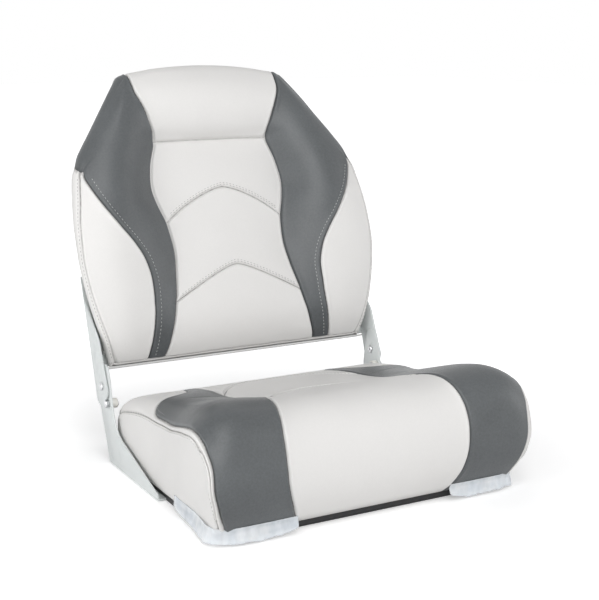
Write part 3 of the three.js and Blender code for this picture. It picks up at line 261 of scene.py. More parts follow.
panel_lamp("key_panel", (-0.9, -2.5, 1.3), (0.0, 0.0, 0.3), 1.5, 29.5)
panel_lamp("crest_panel", (-0.35, -1.15, 2.0), (0.0, -0.1, 0.15), 0.8, 11.0)
panel_lamp("left_panel", (-2.4, -0.2, 0.9), (0.0, 0.1, 0.25), 1.2, 23.0)
panel_lamp("right_panel", (2.2, -1.2, 0.9), (0.0, 0.1, 0.25), 1.2, 11.0)

# %% [markdown]
# ## Finishes
#
# Marine vinyl is a plastic skin embossed with a leather grain. Three scales make it believable:
# cells of about a millimetre that are pressed into the skin, wrinkles of some millimetres, and a
# slow give of the foam with a slight change in tone. The grain and the wrinkles are bumps, the tone
# goes into the colour, and the roughness follows both. Near a seam the skin turns down into a
# fold that light hardly reaches. The mesh carries an attribute there that darkens the colour,
# which is painted shade in the fold.

# %% Vinyl
def vinyl(name, tone, fold_shade_tone, gloss, spread, wrinkle):
    skin = Finish(name)
    grain = skin.clamp(skin.cells(1.5), 0.0, 0.16)
    pores = skin.noise(0.8, 2.0, 0.6)
    wrinkles = skin.noise(7.0, 5.0, 0.66)
    give = skin.noise(80.0, 2.0, 0.5)
    patches = skin.clamp(skin.noise(60.0, 3.0, 0.5), 0.3, 0.7)
    specks = skin.clamp(skin.noise(2.8, 3.0, 0.7), 0.35, 0.65)
    share = patches * 0.4 + specks * 0.45 + grain * 0.15
    body = skin.mix(share, scaled(tone, 1.0 - spread), scaled(tone, 1.0 + spread))
    # painted shade: the attribute darkens the colour towards the fold tone beside each seam
    fold = skin.attribute("painted_seam_shade")
    colour = skin.mix(fold, body, fold_shade_tone)
    rough = gloss + 0.08 * specks + 0.06 * (1.0 - grain) + 0.15 * fold
    relief = skin.bump(give, 0.8, 0.25)
    relief = skin.bump(wrinkles, 0.35, wrinkle, relief)
    relief = skin.bump(grain * 0.8 + pores * 0.2, 0.12, 0.5, relief)
    return skin.finish(colour, rough, {"Normal": relief})


# colours of the painted shade in the seam folds, for the pale and the charcoal vinyl
light_fold_shade = (0.12, 0.116, 0.11)
dark_fold_shade = (0.012, 0.013, 0.014)
light_vinyl = vinyl("light_vinyl", (0.735, 0.725, 0.71), light_fold_shade, 0.4, 0.018, 0.28)
charcoal_vinyl = vinyl("charcoal_vinyl", (0.083, 0.09, 0.094), dark_fold_shade, 0.31, 0.22, 0.85)
print("vinyl:", light_vinyl.name, charcoal_vinyl.name)

# %% [markdown]
# Thread is twisted and matt. A fine wave along it, at the pitch of the twist, is enough at this
# size, with a little grey so that the rows read as lines on the pale skin.

# %% Thread
def thread(name, tone):
    yarn = Finish(name)
    twist = yarn.noise(0.6, 2.0, 0.6)
    tint = yarn.mix(twist, scaled(tone, 0.75), tone)
    return yarn.finish(tint, 0.75 + 0.15 * twist, {"Normal": yarn.bump(twist, 0.15, 0.6)})


grey_thread = thread("grey_thread", (0.4, 0.4, 0.395))
pale_thread = thread("pale_thread", (0.66, 0.66, 0.65))
print("threads:", grey_thread.name, pale_thread.name)

# %% [markdown]
# The arms and brackets are pressed steel with a pale powder coat, which has the fine dimples of
# orange peel. The coat is thinnest at the corners and rubs grey in places, so a slow noise makes
# it a little duller and darker in patches. The rivets and screws are zinc plated: metal, with a
# brushed roughness and the odd dull bloom.

# %% Painted and plated steel
paint = Finish("bracket_paint")
peel = paint.noise(2.2, 2.0, 0.5)
rubbed = paint.clamp(paint.noise(26.0, 5.0, 0.65), 0.56, 0.72)
dust = paint.clamp(paint.noise(7.0, 4.0, 0.7), 0.45, 0.75)
paint_tone = paint.mix(rubbed, (0.635, 0.665, 0.66), (0.585, 0.615, 0.61))
paint_tone = paint.mix(dust * 0.15, paint_tone, (0.7, 0.72, 0.71))
paint_rough = 0.34 + 0.16 * rubbed + 0.08 * dust
bracket_paint = paint.finish(paint_tone, paint_rough, {"Normal": paint.bump(peel, 0.1, 0.3)})

plate = Finish("zinc_plate")
brushed = plate.noise(0.7, 3.0, 0.7)
bloom = plate.clamp(plate.noise(5.0, 4.0, 0.6), 0.4, 0.75)
plate_tone = plate.mix(bloom, (0.66, 0.67, 0.68), (0.48, 0.49, 0.49))
plate_rough = 0.24 + 0.2 * bloom + 0.1 * brushed
plate_more = {"Metallic": 0.9 - 0.25 * bloom, "Normal": plate.bump(brushed, 0.05, 0.4)}
zinc_plate = plate.finish(plate_tone, plate_rough, plate_more)
print("metal finishes:", bracket_paint.name, zinc_plate.name)

# %% [markdown]
# The hidden pan is black moulded plastic with a spark-eroded texture, and the shell behind the
# back is the same plastic in pale grey. Both have a fine even grain, faint flow marks and slight
# scuffs. The small washers and spacers are natural nylon, smoother and a little warmer.

# %% Moulded plastic
def moulded(name, tone, gloss, scuff_tone):
    part = Finish(name)
    texture = part.noise(0.9, 3.0, 0.7)
    flow = part.clamp(part.noise(60.0, 3.0, 0.55), 0.35, 0.65)
    scuffs = part.clamp(part.noise(11.0, 6.0, 0.75), 0.6, 0.8)
    colour = part.mix(scuffs * 0.5, part.mix(flow, scaled(tone, 0.93), tone), scuff_tone)
    rough = gloss + 0.1 * texture + 0.12 * scuffs
    return part.finish(colour, rough, {"Normal": part.bump(texture, 0.08, 0.5)})


pan_plastic = moulded("pan_plastic", (0.011, 0.011, 0.012), 0.5, grey(0.04))
shell_plastic = moulded("shell_plastic", (0.62, 0.62, 0.61), 0.42, (0.5, 0.5, 0.49))
nylon = moulded("natural_nylon", (0.74, 0.73, 0.69), 0.36, (0.6, 0.6, 0.57))
print("plastics:", pan_plastic.name, shell_plastic.name, nylon.name)

# %% [markdown]
# A clear film is wrapped round each lower front corner against scuffs. Clear sheets are hard to
# judge: mostly they show as a bluish veil with bright streaks. So the finish is a thin, glossy
# skin with a part of its alpha kept, and the tone, the alpha and the bump follow the same streaks.

# %% Film
veil = Finish("corner_film")
stretched = {"Vector": veil.place(), "Scale": (1.0, 1.0, 0.3)}
streak_place = veil.node("ShaderNodeMapping", {}, stretched, "Vector")
streaks = veil.clamp(veil.noise(11.0, 3.0, 0.55, streak_place), 0.4, 0.75)
haze = veil.clamp(veil.noise(22.0, 3.0, 0.5), 0.35, 0.65)
veil_tone = veil.mix(haze, (0.83, 0.885, 0.94), (0.92, 0.945, 0.965))
veil_more = {"Alpha": 0.5 + 0.1 * haze + 0.12 * streaks}
veil_more["Normal"] = veil.bump(streaks + 0.6 * haze, 0.5, 0.4)
corner_film = veil.finish(veil_tone, 0.12 + 0.16 * streaks, veil_more)
print("finishes made:", len(bpy.data.materials))

# %% [markdown]
# ## Hard parts from the CAD model
#
# The steel, the plastic and the fasteners have their exact shapes already. They only need their
# finishes, soft shading across curved faces and the tiny rounded corners that a real pressing
# has, because an edge without a radius never catches the light. A Weld modifier joins the loose
# triangles and a Bevel rounds what is sharper than its angle.

# %% Finish the hard parts
hard_finishes = {
    "seat_pan": (pan_plastic, 0.5),
    "back_shell": (shell_plastic, 0.5),
    "lower_bracket": (bracket_paint, 0.45),
    "hinge_arm": (bracket_paint, 0.45),
    "pedestal_nut": (zinc_plate, 0.25),
    "bracket_screw": (zinc_plate, 0.2),
    "arm_screw": (zinc_plate, 0.2),
    "pivot_rivet": (zinc_plate, 0.25),
    "stop_pin": (zinc_plate, 0.25),
    "pivot_washer": (nylon, 0.12),
    "stop_spacer": (nylon, 0.2),
}


def smooth_faces(data):
    data.polygons.foreach_set("use_smooth", [True] * len(data.polygons))


def dress(piece, material, edge_mm):
    piece.data.materials.clear()
    piece.data.materials.append(material)
    smooth_faces(piece.data)
    weld = piece.modifiers.new("weld", "WELD")
    weld.merge_threshold = 0.00002
    bevel = piece.modifiers.new("edges", "BEVEL")
    bevel.width = edge_mm / 1000.0
    bevel.segments = 2
    bevel.limit_method = "ANGLE"
    bevel.angle_limit = radians(35.0)
    bevel.harden_normals = True


hard_count = 0
for node_name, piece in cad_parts.items():
    for stem, (material, edge_mm) in hard_finishes.items():
        if node_name.startswith(stem):
            dress(piece, material, edge_mm)
            hard_count += 1
print("hard parts finished:", hard_count)

# %% [markdown]
# ## Curves for the pattern
#
# An upholsterer works from a few tables: how wide the cushion is at each height, where a seam
# runs, how far the foam stands out. The tables below are in millimetres, the same ones that the
# CAD model is built from. `smooth_curve` draws a line through such a table that never overshoots,
# so a width stays a width between two rows.

# %% Curves
MM = 0.001
SPAN = 215.0


def smooth_curve(rows):
    places = [row[0] for row in rows]
    values = [row[1] for row in rows]
    rises = [(after[1] - row[1]) / (after[0] - row[0]) for row, after in zip(rows, rows[1:])]
    slopes = [rises[0]]
    for before, after in zip(rises, rises[1:]):
        product = before * after
        slopes.append(0.0 if product <= 0 else 2.0 * product / (before + after))
    slopes.append(rises[-1])

    def at(place):
        within = limited(place, places[0], places[-1])
        i = 0
        while i < len(places) - 2 and within > places[i + 1]:
            i += 1
        span = places[i + 1] - places[i]
        k = (within - places[i]) / span
        ends = values[i] * (2 * k**3 - 3 * k**2 + 1) + values[i + 1] * (3 * k**2 - 2 * k**3)
        return ends + span * (slopes[i] * (k**3 - 2 * k**2 + k) + slopes[i + 1] * (k**3 - k**2))

    return at


def width_curve(rows):
    inset = smooth_curve(rows)
    return lambda place: SPAN - inset(place)


def mixed(first, second, share):
    return first + (second - first) * share


def limited(value, low=0.0, high=1.0):
    return min(max(value, low), high)


def tape(points):
    """Distance along a line of points, from 0 at its start."""
    return np.concatenate([[0.0], np.cumsum(np.linalg.norm(np.diff(points, axis=0), axis=1))])


def at_way(way, ways, table):
    """The two columns of a table, read at a distance along its line."""
    return [float(np.interp(way, ways, table[:, axis])) for axis in (0, 1)]


def shares_of(length, step, near_start=True, near_end=True):
    """Shares along a band of the cover, close together beside a seam."""
    close = [d for d in (1.1, 2.4, 4.2, 6.8) if d < length / 3.0]
    start = close if near_start else []
    end = close if near_end else []
    low = start[-1] if start else 0.0
    high = length - (end[-1] if end else 0.0)
    count = max(1, round((high - low) / step))
    middle = [low + (high - low) * k / count for k in range(1, count)]
    places = [0.0, *start, *middle, *(length - d for d in reversed(end)), length]
    return [place / length for place in places]


def row_lines(bands):
    lines = []
    for band, shares in enumerate(bands):
        lines += [(band, share) for share in (shares if band == 0 else shares[1:])]
    return lines


def column_lines(bands):
    half = row_lines(bands)
    right = [(band, share, 1) for band, share in reversed(half)]
    left = [(band, share, -1) for band, share in half[1:]]
    return right + left


print("half of the span across the hinge arms:", SPAN, "mm")

# %% [markdown]
# ## The seat cushion as a flat pattern
#
# Seen from the side, the cushion is one closed sweep: up the rear edge, over the hollow where one
# sits, round the thick front roll and back under to the pan. The profile is a smooth curve through
# the measured points, and `way` is the distance along it, as with a tape laid over the cover. Seen
# from above, the sides widen towards the front. Each point of the cover is therefore given by
# two numbers, x across and the way along, and every seam is a line in those two numbers.

# %% Seat tables
seat_profile_rows = [
    (163, 8), (169, 30), (170, 58), (164, 79), (148, 91), (120, 100), (90, 107), (56, 113),
    (10, 119), (-30, 128), (-75, 143), (-105, 152), (-132, 156), (-156, 151), (-174, 137),
    (-186, 117), (-192, 92), (-192, 66), (-187, 42), (-176, 21), (-162, 8),
]
seat_inset_rows = [
    (-178, -26), (-150, -22.5), (-120, -16.5), (-60, -5), (-5, 5), (70, 8), (168, 10),
]
seat_edge_rows = [
    (0, 20), (60, 28), (170, 33), (250, 41), (310, 50), (370, 55), (420, 50), (480, 40),
    (540, 27), (570, 14),
]
seat_inner_rows = [
    (105, 107), (120, 113), (171, 111), (218, 109), (350, 114), (365, 111), (401, 108), (444, 104),
    (470, 103), (503, 104), (552, 105), (570, 106),
]
seat_outer_rows = [
    (105, 96), (114, 94), (124, 93), (136, 91), (150, 85), (165, 70), (180, 49), (193, 29),
    (205, 15.5), (216, 10.5), (228, 9.5),
    (310, 10), (370, 11.5), (410, 14), (440, 18), (475, 22), (510, 22), (540, 17.5), (570, 12),
]
seat_side_rows = [
    (0, 4), (170, 5.2), (310, 6.7), (370, 7.2), (410, 9), (440, 13), (475, 17), (510, 17),
    (540, 12), (570, 6),
]
seat_dip_rows = [
    (77, 0), (150, 1), (250, 3), (340, 6), (400, 8), (440, 7), (490, 3), (530, 0), (570, 0),
]
rear_arc_rows = [
    (0, 105), (30, 103), (50, 95), (75, 75), (95, 47), (105, 27),
]
front_arc_rows = [
    (0, -4), (30, -11), (50, -23), (70, -45), (87, -75), (102, -101),
]
SEAT_HALF = SPAN - 2.0
FOOT_HALF = SPAN - 13.0
FOOT_Z = 8.0
WAIST_Z = 78.0
DECK_Z = 21.6
REAR_BOXING_WAY = 77.0
TIP_WAY = 105.0
CREST_WAY = 425.0
INSERT_REACH = 105.0
INSERT_CROWN = 5.0
DIP_HALF = 165.0
DIP_SLOPE = 85.0


# %% The profile with its length measured
def swept_points(rows, steps=60):
    """Points of a centripetal Catmull-Rom curve, which has no loops at sharp turns."""
    corners = [np.array(row, float) for row in rows]
    padded = [2 * corners[0] - corners[1], *corners, 2 * corners[-1] - corners[-2]]
    points = []
    for i in range(len(corners) - 1):
        a, b, c, d = padded[i : i + 4]
        t0, t1, t2 = (sqrt(np.linalg.norm(q - p)) for p, q in ((a, b), (b, c), (c, d)))
        leave = ((b - a) / t0 - (c - a) / (t0 + t1) + (c - b) / t1) * t1
        arrive = ((c - b) / t1 - (d - b) / (t1 + t2) + (d - c) / t2) * t1
        for k in np.linspace(0.0, 1.0, steps, endpoint=False):
            ends = (2 * k**3 - 3 * k**2 + 1) * b + (3 * k**2 - 2 * k**3) * c
            points.append(ends + (k**3 - 2 * k**2 + k) * leave + (k**3 - k**2) * arrive)
    points.append(corners[-1])
    return np.array(points)


profile = swept_points(seat_profile_rows)
profile_ways = tape(profile)
profile_runs = np.gradient(profile, profile_ways, axis=0)
profile_runs /= np.linalg.norm(profile_runs, axis=1)[:, None]
SEAT_LENGTH = float(profile_ways[-1])
print("tape round the seat:", round(SEAT_LENGTH, 1), "mm")

seat_width = width_curve(seat_inset_rows)
seat_edge = smooth_curve(seat_edge_rows)
seat_inner = width_curve(seat_inner_rows)
seat_outer = width_curve(seat_outer_rows)
side_seam = width_curve(seat_side_rows)
seat_dip = smooth_curve(seat_dip_rows)
rear_arc = smooth_curve(rear_arc_rows)
front_arc = smooth_curve(front_arc_rows)
on_top = (profile_ways >= REAR_BOXING_WAY) & (profile_ways <= CREST_WAY)
top_y = profile[on_top][::-1, 0]
top_way = profile_ways[on_top][::-1]


def way_at(y):
    return float(np.interp(y, top_y, top_way))


def seat_point(x, way, rise=0.0):
    """A point of the cover in millimetres, rounded over at the sides."""
    radius = seat_edge(way)
    past = max(0.0, abs(x) - (SEAT_HALF - radius)) / radius
    draw = radius * (1.0 - sqrt(max(0.0, 1.0 - past * past))) - rise
    middle = limited((DIP_HALF - abs(x)) / DIP_SLOPE)
    draw += seat_dip(way) * middle * middle * (3.0 - 2.0 * middle)
    y, z = at_way(way, profile_ways, profile)
    run_y, run_z = at_way(way, profile_ways, profile_runs)
    y -= run_z * draw
    z = max(FOOT_Z, z + run_y * draw)
    lift = limited((z - FOOT_Z) / (WAIST_Z - FOOT_Z))
    half = mixed(FOOT_HALF, seat_width(y), sin(lift * pi / 2))
    return Vector((x * half / SEAT_HALF, y, z))


def seat_side_point(sign, way, drop):
    """The side strip, from its seam down to the lower edge of the cover."""
    foot_front = profile[-1][0] + seat_edge(SEAT_LENGTH) * 0.8
    foot_rear = profile[0][0] - seat_edge(0.0) * 0.8
    foot = Vector((sign * FOOT_HALF, mixed(foot_rear, foot_front, way / SEAT_LENGTH), FOOT_Z))
    point = seat_point(sign * side_seam(way), way).lerp(foot, drop)
    point.x += sign * 2.5 * sin(drop * pi)
    return point


# %% [markdown]
# The pattern becomes a net of columns and rows. The columns follow the seams on either side of
# each dark panel, the rows follow the two arcs round the insert, so every seam is a line of edges.
# Lines stand a millimetre apart beside a seam and about eight elsewhere: the folds come out crisp
# without a heavy mesh.

# %% The seat's net
SEAT_SIDES = 10
DARK_BANDS = 20
seat_bands = [shares_of(110.0, 9.0, near_start=False), shares_of(92.0, 8.0), shares_of(24.0, 4.0)]
seat_columns = column_lines([*seat_bands, shares_of(100.0, 8.0, near_end=False)])
seat_bands = [shares_of(77.0, 8.0, near_start=False), shares_of(28.0, 5.0), shares_of(90.0, 8.0)]
seat_bands += [shares_of(100.0, 8.0), shares_of(300.0, 8.0, near_end=False)]
seat_rows = row_lines(seat_bands)


def seat_net_point(column, row):
    band, share, sign = column
    reach = share if band == 0 else 1.0
    bounds = [0.0, REAR_BOXING_WAY, TIP_WAY]
    bounds += [way_at(arc(reach * INSERT_REACH)) for arc in (rear_arc, front_arc)]
    bounds.append(SEAT_LENGTH)
    way = mixed(bounds[row[0]], bounds[row[0] + 1], row[1])
    if band == 3:
        return seat_side_point(sign, way, share)
    seams = [0.0, seat_inner(way), seat_outer(way), side_seam(way)]
    x = mixed(seams[band], seams[band + 1], share)
    crown = 0.0
    if band == 0 and row[0] == 3:
        crown = INSERT_CROWN * cos(share * pi / 2) * sin(row[1] * pi)
    return seat_point(sign * x, way, crown)


def seat_panel(column, row):
    """Panel number of a cell, and whether it is dark."""
    if column[0] == 3:
        return SEAT_SIDES + column[2], False
    if row[0] == 0:
        return 1, False
    if row[0] == 1 or column[0] == 2:
        return 2, False
    if column[0] == 1:
        return DARK_BANDS + column[2], True
    return max(2, row[0]), False


print("seat net:", len(seat_columns), "by", len(seat_rows))

# %% [markdown]
# ## From a net to a cover
#
# `create_grid` gives a flat sheet with as many cells as the pattern has, and each of its points
# is then laid where the pattern says. Each face remembers its panel, so that the seams can be
# found later as the edges between two panels. The same function serves the seat and the back.

# %% Lay a grid on the pattern
def outer_line(first, second):
    """Of two neighbouring lines, the one that belongs to the outer band."""
    return first if (first[0], first[1]) > (second[0], second[1]) else second


def laid_grid(columns, rows, point_at, panel_at):
    mesh = bmesh.new()
    wide, high = len(columns) - 1, len(rows) - 1
    made = bmesh.ops.create_grid(mesh, x_segments=wide, y_segments=high, size=1.0)
    panel_layer = mesh.faces.layers.int.new("panel")
    index = {}
    for vert in made["verts"]:
        i = round((vert.co.x + 1.0) / 2.0 * wide)
        j = round((vert.co.y + 1.0) / 2.0 * high)
        index[vert] = (i, j)
    for face in mesh.faces:
        i = min(index[vert][0] for vert in face.verts)
        j = min(index[vert][1] for vert in face.verts)
        panel, is_dark = panel_at(outer_line(columns[i], columns[i + 1]), rows[j + 1])
        face[panel_layer] = panel
        face.material_index = 1 if is_dark else 0
    for vert, (i, j) in index.items():
        vert.co = point_at(columns[i], rows[j]) * MM
    return mesh, panel_layer


def open_edges(mesh):
    return [edge for edge in mesh.edges if edge.is_boundary]


def numbered_rim(mesh, edges):
    """Numbers the points of an open rim; a point that is extruded from one keeps its number."""
    layer = mesh.verts.layers.int.new("rim")
    points = list(dict.fromkeys(vert for edge in edges for vert in edge.verts))
    for number, vert in enumerate(points):
        vert[layer] = number
    return layer, points


def extruded_rim(mesh, edges, placed):
    """Extrudes open edges once and asks `placed` where each new point goes."""
    grown = bmesh.ops.extrude_edge_only(mesh, edges=edges)["geom"]
    for item in grown:
        if isinstance(item, bmesh.types.BMVert):
            item.co = placed(item)
    return [item for item in grown if isinstance(item, bmesh.types.BMEdge) and item.is_boundary]


# %% [markdown]
# The lower edge of the seat's cover is tucked round the wall of the pan. The open rim of the net
# is extruded twice: inwards by the thickness of the cover, and up to the deck. The underside stays
# open for now. It is closed after the subdivision, because a face with hundreds of corners would
# make that very slow.

# %% Seat cover with its skirt
def inward_places(edges, layer, distance):
    """Each numbered rim point after a step inwards, square to the rim in plan."""
    across = {}
    for edge in edges:
        a, b = (vert.co for vert in edge.verts)
        side = Vector((b.y - a.y, a.x - b.x, 0.0)).normalized()
        if side.dot(a + b) > 0:
            side = -side
        for vert in edge.verts:
            across[vert] = across.get(vert, Vector()) + side
    return {vert[layer]: vert.co + side.normalized() * distance for vert, side in across.items()}


COVER_THICKNESS = 5.0
seat_cover, seat_panels = laid_grid(seat_columns, seat_rows, seat_net_point, seat_panel)
rim = open_edges(seat_cover)
seat_rim, _ = numbered_rim(seat_cover, rim)
inner_places = inward_places(rim, seat_rim, COVER_THICKNESS * MM)
rim = extruded_rim(seat_cover, rim, lambda vert: inner_places[vert[seat_rim]])
rim = extruded_rim(seat_cover, rim, lambda vert: Vector((vert.co.x, vert.co.y, DECK_Z * MM)))
bmesh.ops.recalc_face_normals(seat_cover, faces=seat_cover.faces)
print("seat cover:", len(seat_cover.verts), "points,", len(open_edges(seat_cover)), "open edges")

# %% [markdown]
# ## The back cushion as a flat pattern
#
# The back is drawn lying in its own leaning frame: `up` from the lower edge, `forward` from the
# rear plane, and x across. The middle is hollow, the two dark bands rise out of it to the wings,
# and the head roll bulges over a deep seam. Four depth curves describe that: at the centre, along
# the inner seam, along the crest of the wings and at the edge.

# %% Back tables
back_front_rows = [
    (0, 18.5), (7, 14), (30, 6), (69, -6.5), (109, -15), (144, -18.5), (185, -17), (226, -11),
    (257, -5.5), (270, -0.5), (297, 15.5), (334, 39), (370, 63.5), (386, 76), (402, 90),
]
back_rear_rows = [
    (0, 20.5), (23, 18), (79, 12), (125, 7), (158, 2.5), (190, 0.5), (219, 1.6), (247, 6.5),
    (270, 15.5), (288, 24.5), (325, 45.5), (362, 68.5), (386, 82), (402, 91.5),
]
back_inner_rows = [
    (0, 98), (23, 105), (49, 112), (79, 119), (111, 125), (145, 129.5), (182, 126.5), (210, 118.5),
    (238, 113), (271, 117.5), (304, 127), (332, 119), (355, 110), (377, 102), (398, 100.5),
]
back_outer_rows = [
    (0, 73), (28, 78), (70, 83.5), (102, 84.5), (133, 78), (160, 63), (181, 47), (214, 25),
    (239, 13), (262, 6), (290, 37), (340, 75), (398, 96),
]
wing_crest_rows = [
    (0, 54), (110, 43), (200, 43), (271, 53), (304, 66), (355, 82), (386, 92.5), (398, 98),
]
centre_depth_rows = [
    (0, 24), (6, 32), (14, 38), (26, 45), (45, 52), (74, 54), (118, 51), (160, 46), (187, 42),
    (230, 41), (262, 38), (292, 31), (304, 26), (312, 36), (326, 44), (352, 50), (376, 48),
    (399, 38), (412, 30),
]
valley_depth_rows = [
    (0, 23), (6, 30), (14, 36), (26, 41), (49, 47), (79, 47), (111, 42), (158, 36.5), (199, 32.5),
    (235, 28), (271, 25.5), (304, 25), (319, 34), (332, 39), (355, 44), (375, 41), (399, 31),
]
wing_depth_rows = [
    (0, 24), (6, 32), (14, 38), (28, 47), (49, 55), (79, 61), (111, 64), (158, 67), (199, 67),
    (235, 65), (271, 60), (304, 55), (332, 51), (355, 47), (375, 41), (399, 31),
]
edge_depth_rows = [
    (0, 22), (14, 33), (28, 41), (49, 47), (79, 51), (111, 54), (158, 56), (214, 55), (240, 52),
    (271, 48), (304, 45), (332, 41), (355, 38), (375, 34), (399, 28),
]
LEAN = radians(18.2)
PIVOT = Vector((0.0, 175.0, 104.0))
BACK_REAR = 27.8
BACK_FOOT = 26.7
COVER_REAR = 6.1
EDGE_INSET = 9.0
EDGE_SLANT = 16.0
SLANT_REACH = 45.0
TOP_HEIGHT = 416.0
CORNER_HEIGHT = 402.0
HEAD_SEAM = 304.0
SHOULDER_UP = 262.0
LOWER_CHEVRON = (119.0, 74.0)
UPPER_CHEVRON = (232.0, 187.0)

back_half = width_curve(back_front_rows)
back_half_rear = width_curve(back_rear_rows)
back_inner = width_curve(back_inner_rows)
back_outer_line = width_curve(back_outer_rows)
wing_crest = width_curve(wing_crest_rows)
centre_depth = smooth_curve(centre_depth_rows)
valley_depth = smooth_curve(valley_depth_rows)
wing_depth = smooth_curve(wing_depth_rows)
edge_depth = smooth_curve(edge_depth_rows)


# %% Points of the back
def upright(x, up, forward):
    return Vector((x, BACK_REAR - forward, BACK_FOOT + up))


def leaning(point):
    """From the back's own frame to the seat's, both in millimetres."""
    y = point.y * cos(LEAN) + point.z * sin(LEAN)
    z = point.z * cos(LEAN) - point.y * sin(LEAN)
    return PIVOT + Vector((point.x, y, z))


def face_edge(up):
    return back_half(up) - EDGE_INSET


def back_outer(up):
    return min(back_outer_line(up), face_edge(up) - 1.5)


def back_front(x, up):
    valley = back_inner(up)
    crest = wing_crest(up)
    if x <= valley:
        return mixed(centre_depth(up), valley_depth(up), (x / valley) ** 2)
    if x <= crest:
        rise = sin((x - valley) / (crest - valley) * pi / 2)
        return mixed(valley_depth(up), wing_depth(up), rise)
    past = min(1.0, (x - crest) / (face_edge(up) - crest))
    return mixed(edge_depth(up), wing_depth(up), cos(past * pi / 2))


def top_edge(x):
    return mixed(TOP_HEIGHT, CORNER_HEIGHT, (x / back_half(CORNER_HEIGHT)) ** 2)


def in_back_frame(place):
    """The way back from `leaning`, for a point in metres: x, up and forward in millimetres."""
    point = place / MM - PIVOT
    up = point.y * sin(LEAN) + point.z * cos(LEAN) - BACK_FOOT
    return point.x, up, BACK_REAR - (point.y * cos(LEAN) - point.z * sin(LEAN))


def chevron(ends, reach):
    """Height of a chevron seam, from its apex at the middle to its end at the dark band."""
    return mixed(*ends, reach ** (1.0 / 0.75))


def back_net_point(column, row):
    band, share, sign = column

    def x_at(up):
        seams = [0.0, back_inner(up), back_outer(up), face_edge(up)]
        return mixed(seams[band], seams[band + 1], share)

    reach = share if band == 0 else 1.0
    bounds = [0.0, chevron(LOWER_CHEVRON, reach), chevron(UPPER_CHEVRON, reach), HEAD_SEAM]
    bounds.append(top_edge(x_at(CORNER_HEIGHT - EDGE_INSET)) - EDGE_INSET)
    up = mixed(bounds[row[0]], bounds[row[0] + 1], row[1])
    return upright(sign * x_at(up), up, back_front(x_at(up), up))


# %% [markdown]
# The light side panels end at the shoulders, where the dark bands reach the edge. The row that
# passes through the shoulder parts them, on the face and on the strip that turns round the edge.

# %% The back's net
SIDE_PANELS = 30
FOOT_STRIP = 50
SIDE_STRIPS = 60
back_bands = [shares_of(105.0, 9.0, near_start=False), shares_of(75.0, 7.5), shares_of(52.0, 7.0)]
back_columns = column_lines(back_bands)
upper_row = shares_of(86.0, 8.0)
shoulder_share = (SHOULDER_UP - UPPER_CHEVRON[1]) / (HEAD_SEAM - UPPER_CHEVRON[1])
nearest = min(range(len(upper_row)), key=lambda k: abs(upper_row[k] - shoulder_share))
upper_row[nearest] = shoulder_share
back_bands = [shares_of(95.0, 8.0), shares_of(113.0, 8.0), upper_row, shares_of(108.0, 8.0)]
back_rows = row_lines(back_bands)
shoulder_row = back_rows.index((2, shoulder_share))


def back_panel(column, row):
    if column[0] == 2 and back_rows.index(row) <= shoulder_row:
        return SIDE_PANELS + column[2], False
    if column[0] > 0:
        return DARK_BANDS + column[2], True
    return row[0], False


print("back net:", len(back_columns), "by", len(back_rows), "shoulder at row", shoulder_row)

# %% [markdown]
# The cover turns round the edge to the shell. The face's rim is extruded step by step along a
# small round, back across the edge, and in behind. Towards the rear the cushion is narrower, so
# each step also draws in. The lower edge runs straight back under the foam instead. The last steps
# turn in against the shell. The dark strips of the edge belong to the panels that they continue.

# %% Back cover with its turned edge
back_cover, back_panels = laid_grid(back_columns, back_rows, back_net_point, back_panel)
rim = open_edges(back_cover)
back_rim, rim_points = numbered_rim(back_cover, rim)
lowest = min(vert.co.z for vert in rim_points) + 0.01 * MM
foot_half = max(abs(vert.co.x) for vert in rim_points if vert.co.z < lowest)
rim_facts = []
for vert in rim_points:
    before, after = (edge.other_vert(vert).co for edge in vert.link_edges if edge.is_boundary)
    run = after - before
    out = Vector((run.z, 0.0, -run.x)).normalized()
    if out.dot(vert.co - Vector((0.0, vert.co.y, 0.2))) < 0:
        out = -out
    on_foot = vert.co.z < lowest
    at_corner = on_foot and abs(vert.co.x) > foot_half - 0.01 * MM
    if at_corner:
        on_foot = False
        out = Vector((1.0 if vert.co.x > 0 else -1.0, 0.0, 0.0))
    rim_facts.append((vert.co.copy(), on_foot, out))


def turned_place(start, on_foot, out, step):
    """A rim point after a step round the edge; a step is (out, share of draw, share of depth)."""
    away, draw_share, depth_share = step
    up = start.z / MM - BACK_FOOT
    front = BACK_REAR - start.y / MM
    forward = mixed(front, COVER_REAR, depth_share)
    if on_foot:
        share = start.x / foot_half
        reach = foot_half - 2.0 * MM
        raised = 7.4 - away if depth_share == 1.0 else -1.2 * sin(min(1.0, depth_share * 1.4) * pi)
        across = mixed(start.x, share * reach, draw_share)
        return Vector((across, (BACK_REAR - forward) * MM, start.z + raised * MM))
    draw = max(0.0, back_half(up) - back_half_rear(up)) * draw_share
    forward = mixed(front, COVER_REAR, depth_share ** (1.0 - 0.2 * max(0.0, out.z)))
    moved = start + out * away * MM
    slant = exp(-(((up - SHOULDER_UP) / SLANT_REACH) ** 2)) * (1.0 - max(0.0, out.z))
    moved.z += EDGE_SLANT * MM * slant * min(1.0, 2.0 * depth_share)
    moved.y = (BACK_REAR - forward) * MM
    moved.x -= draw * MM * (1 if start.x > 0 else -1)
    return moved


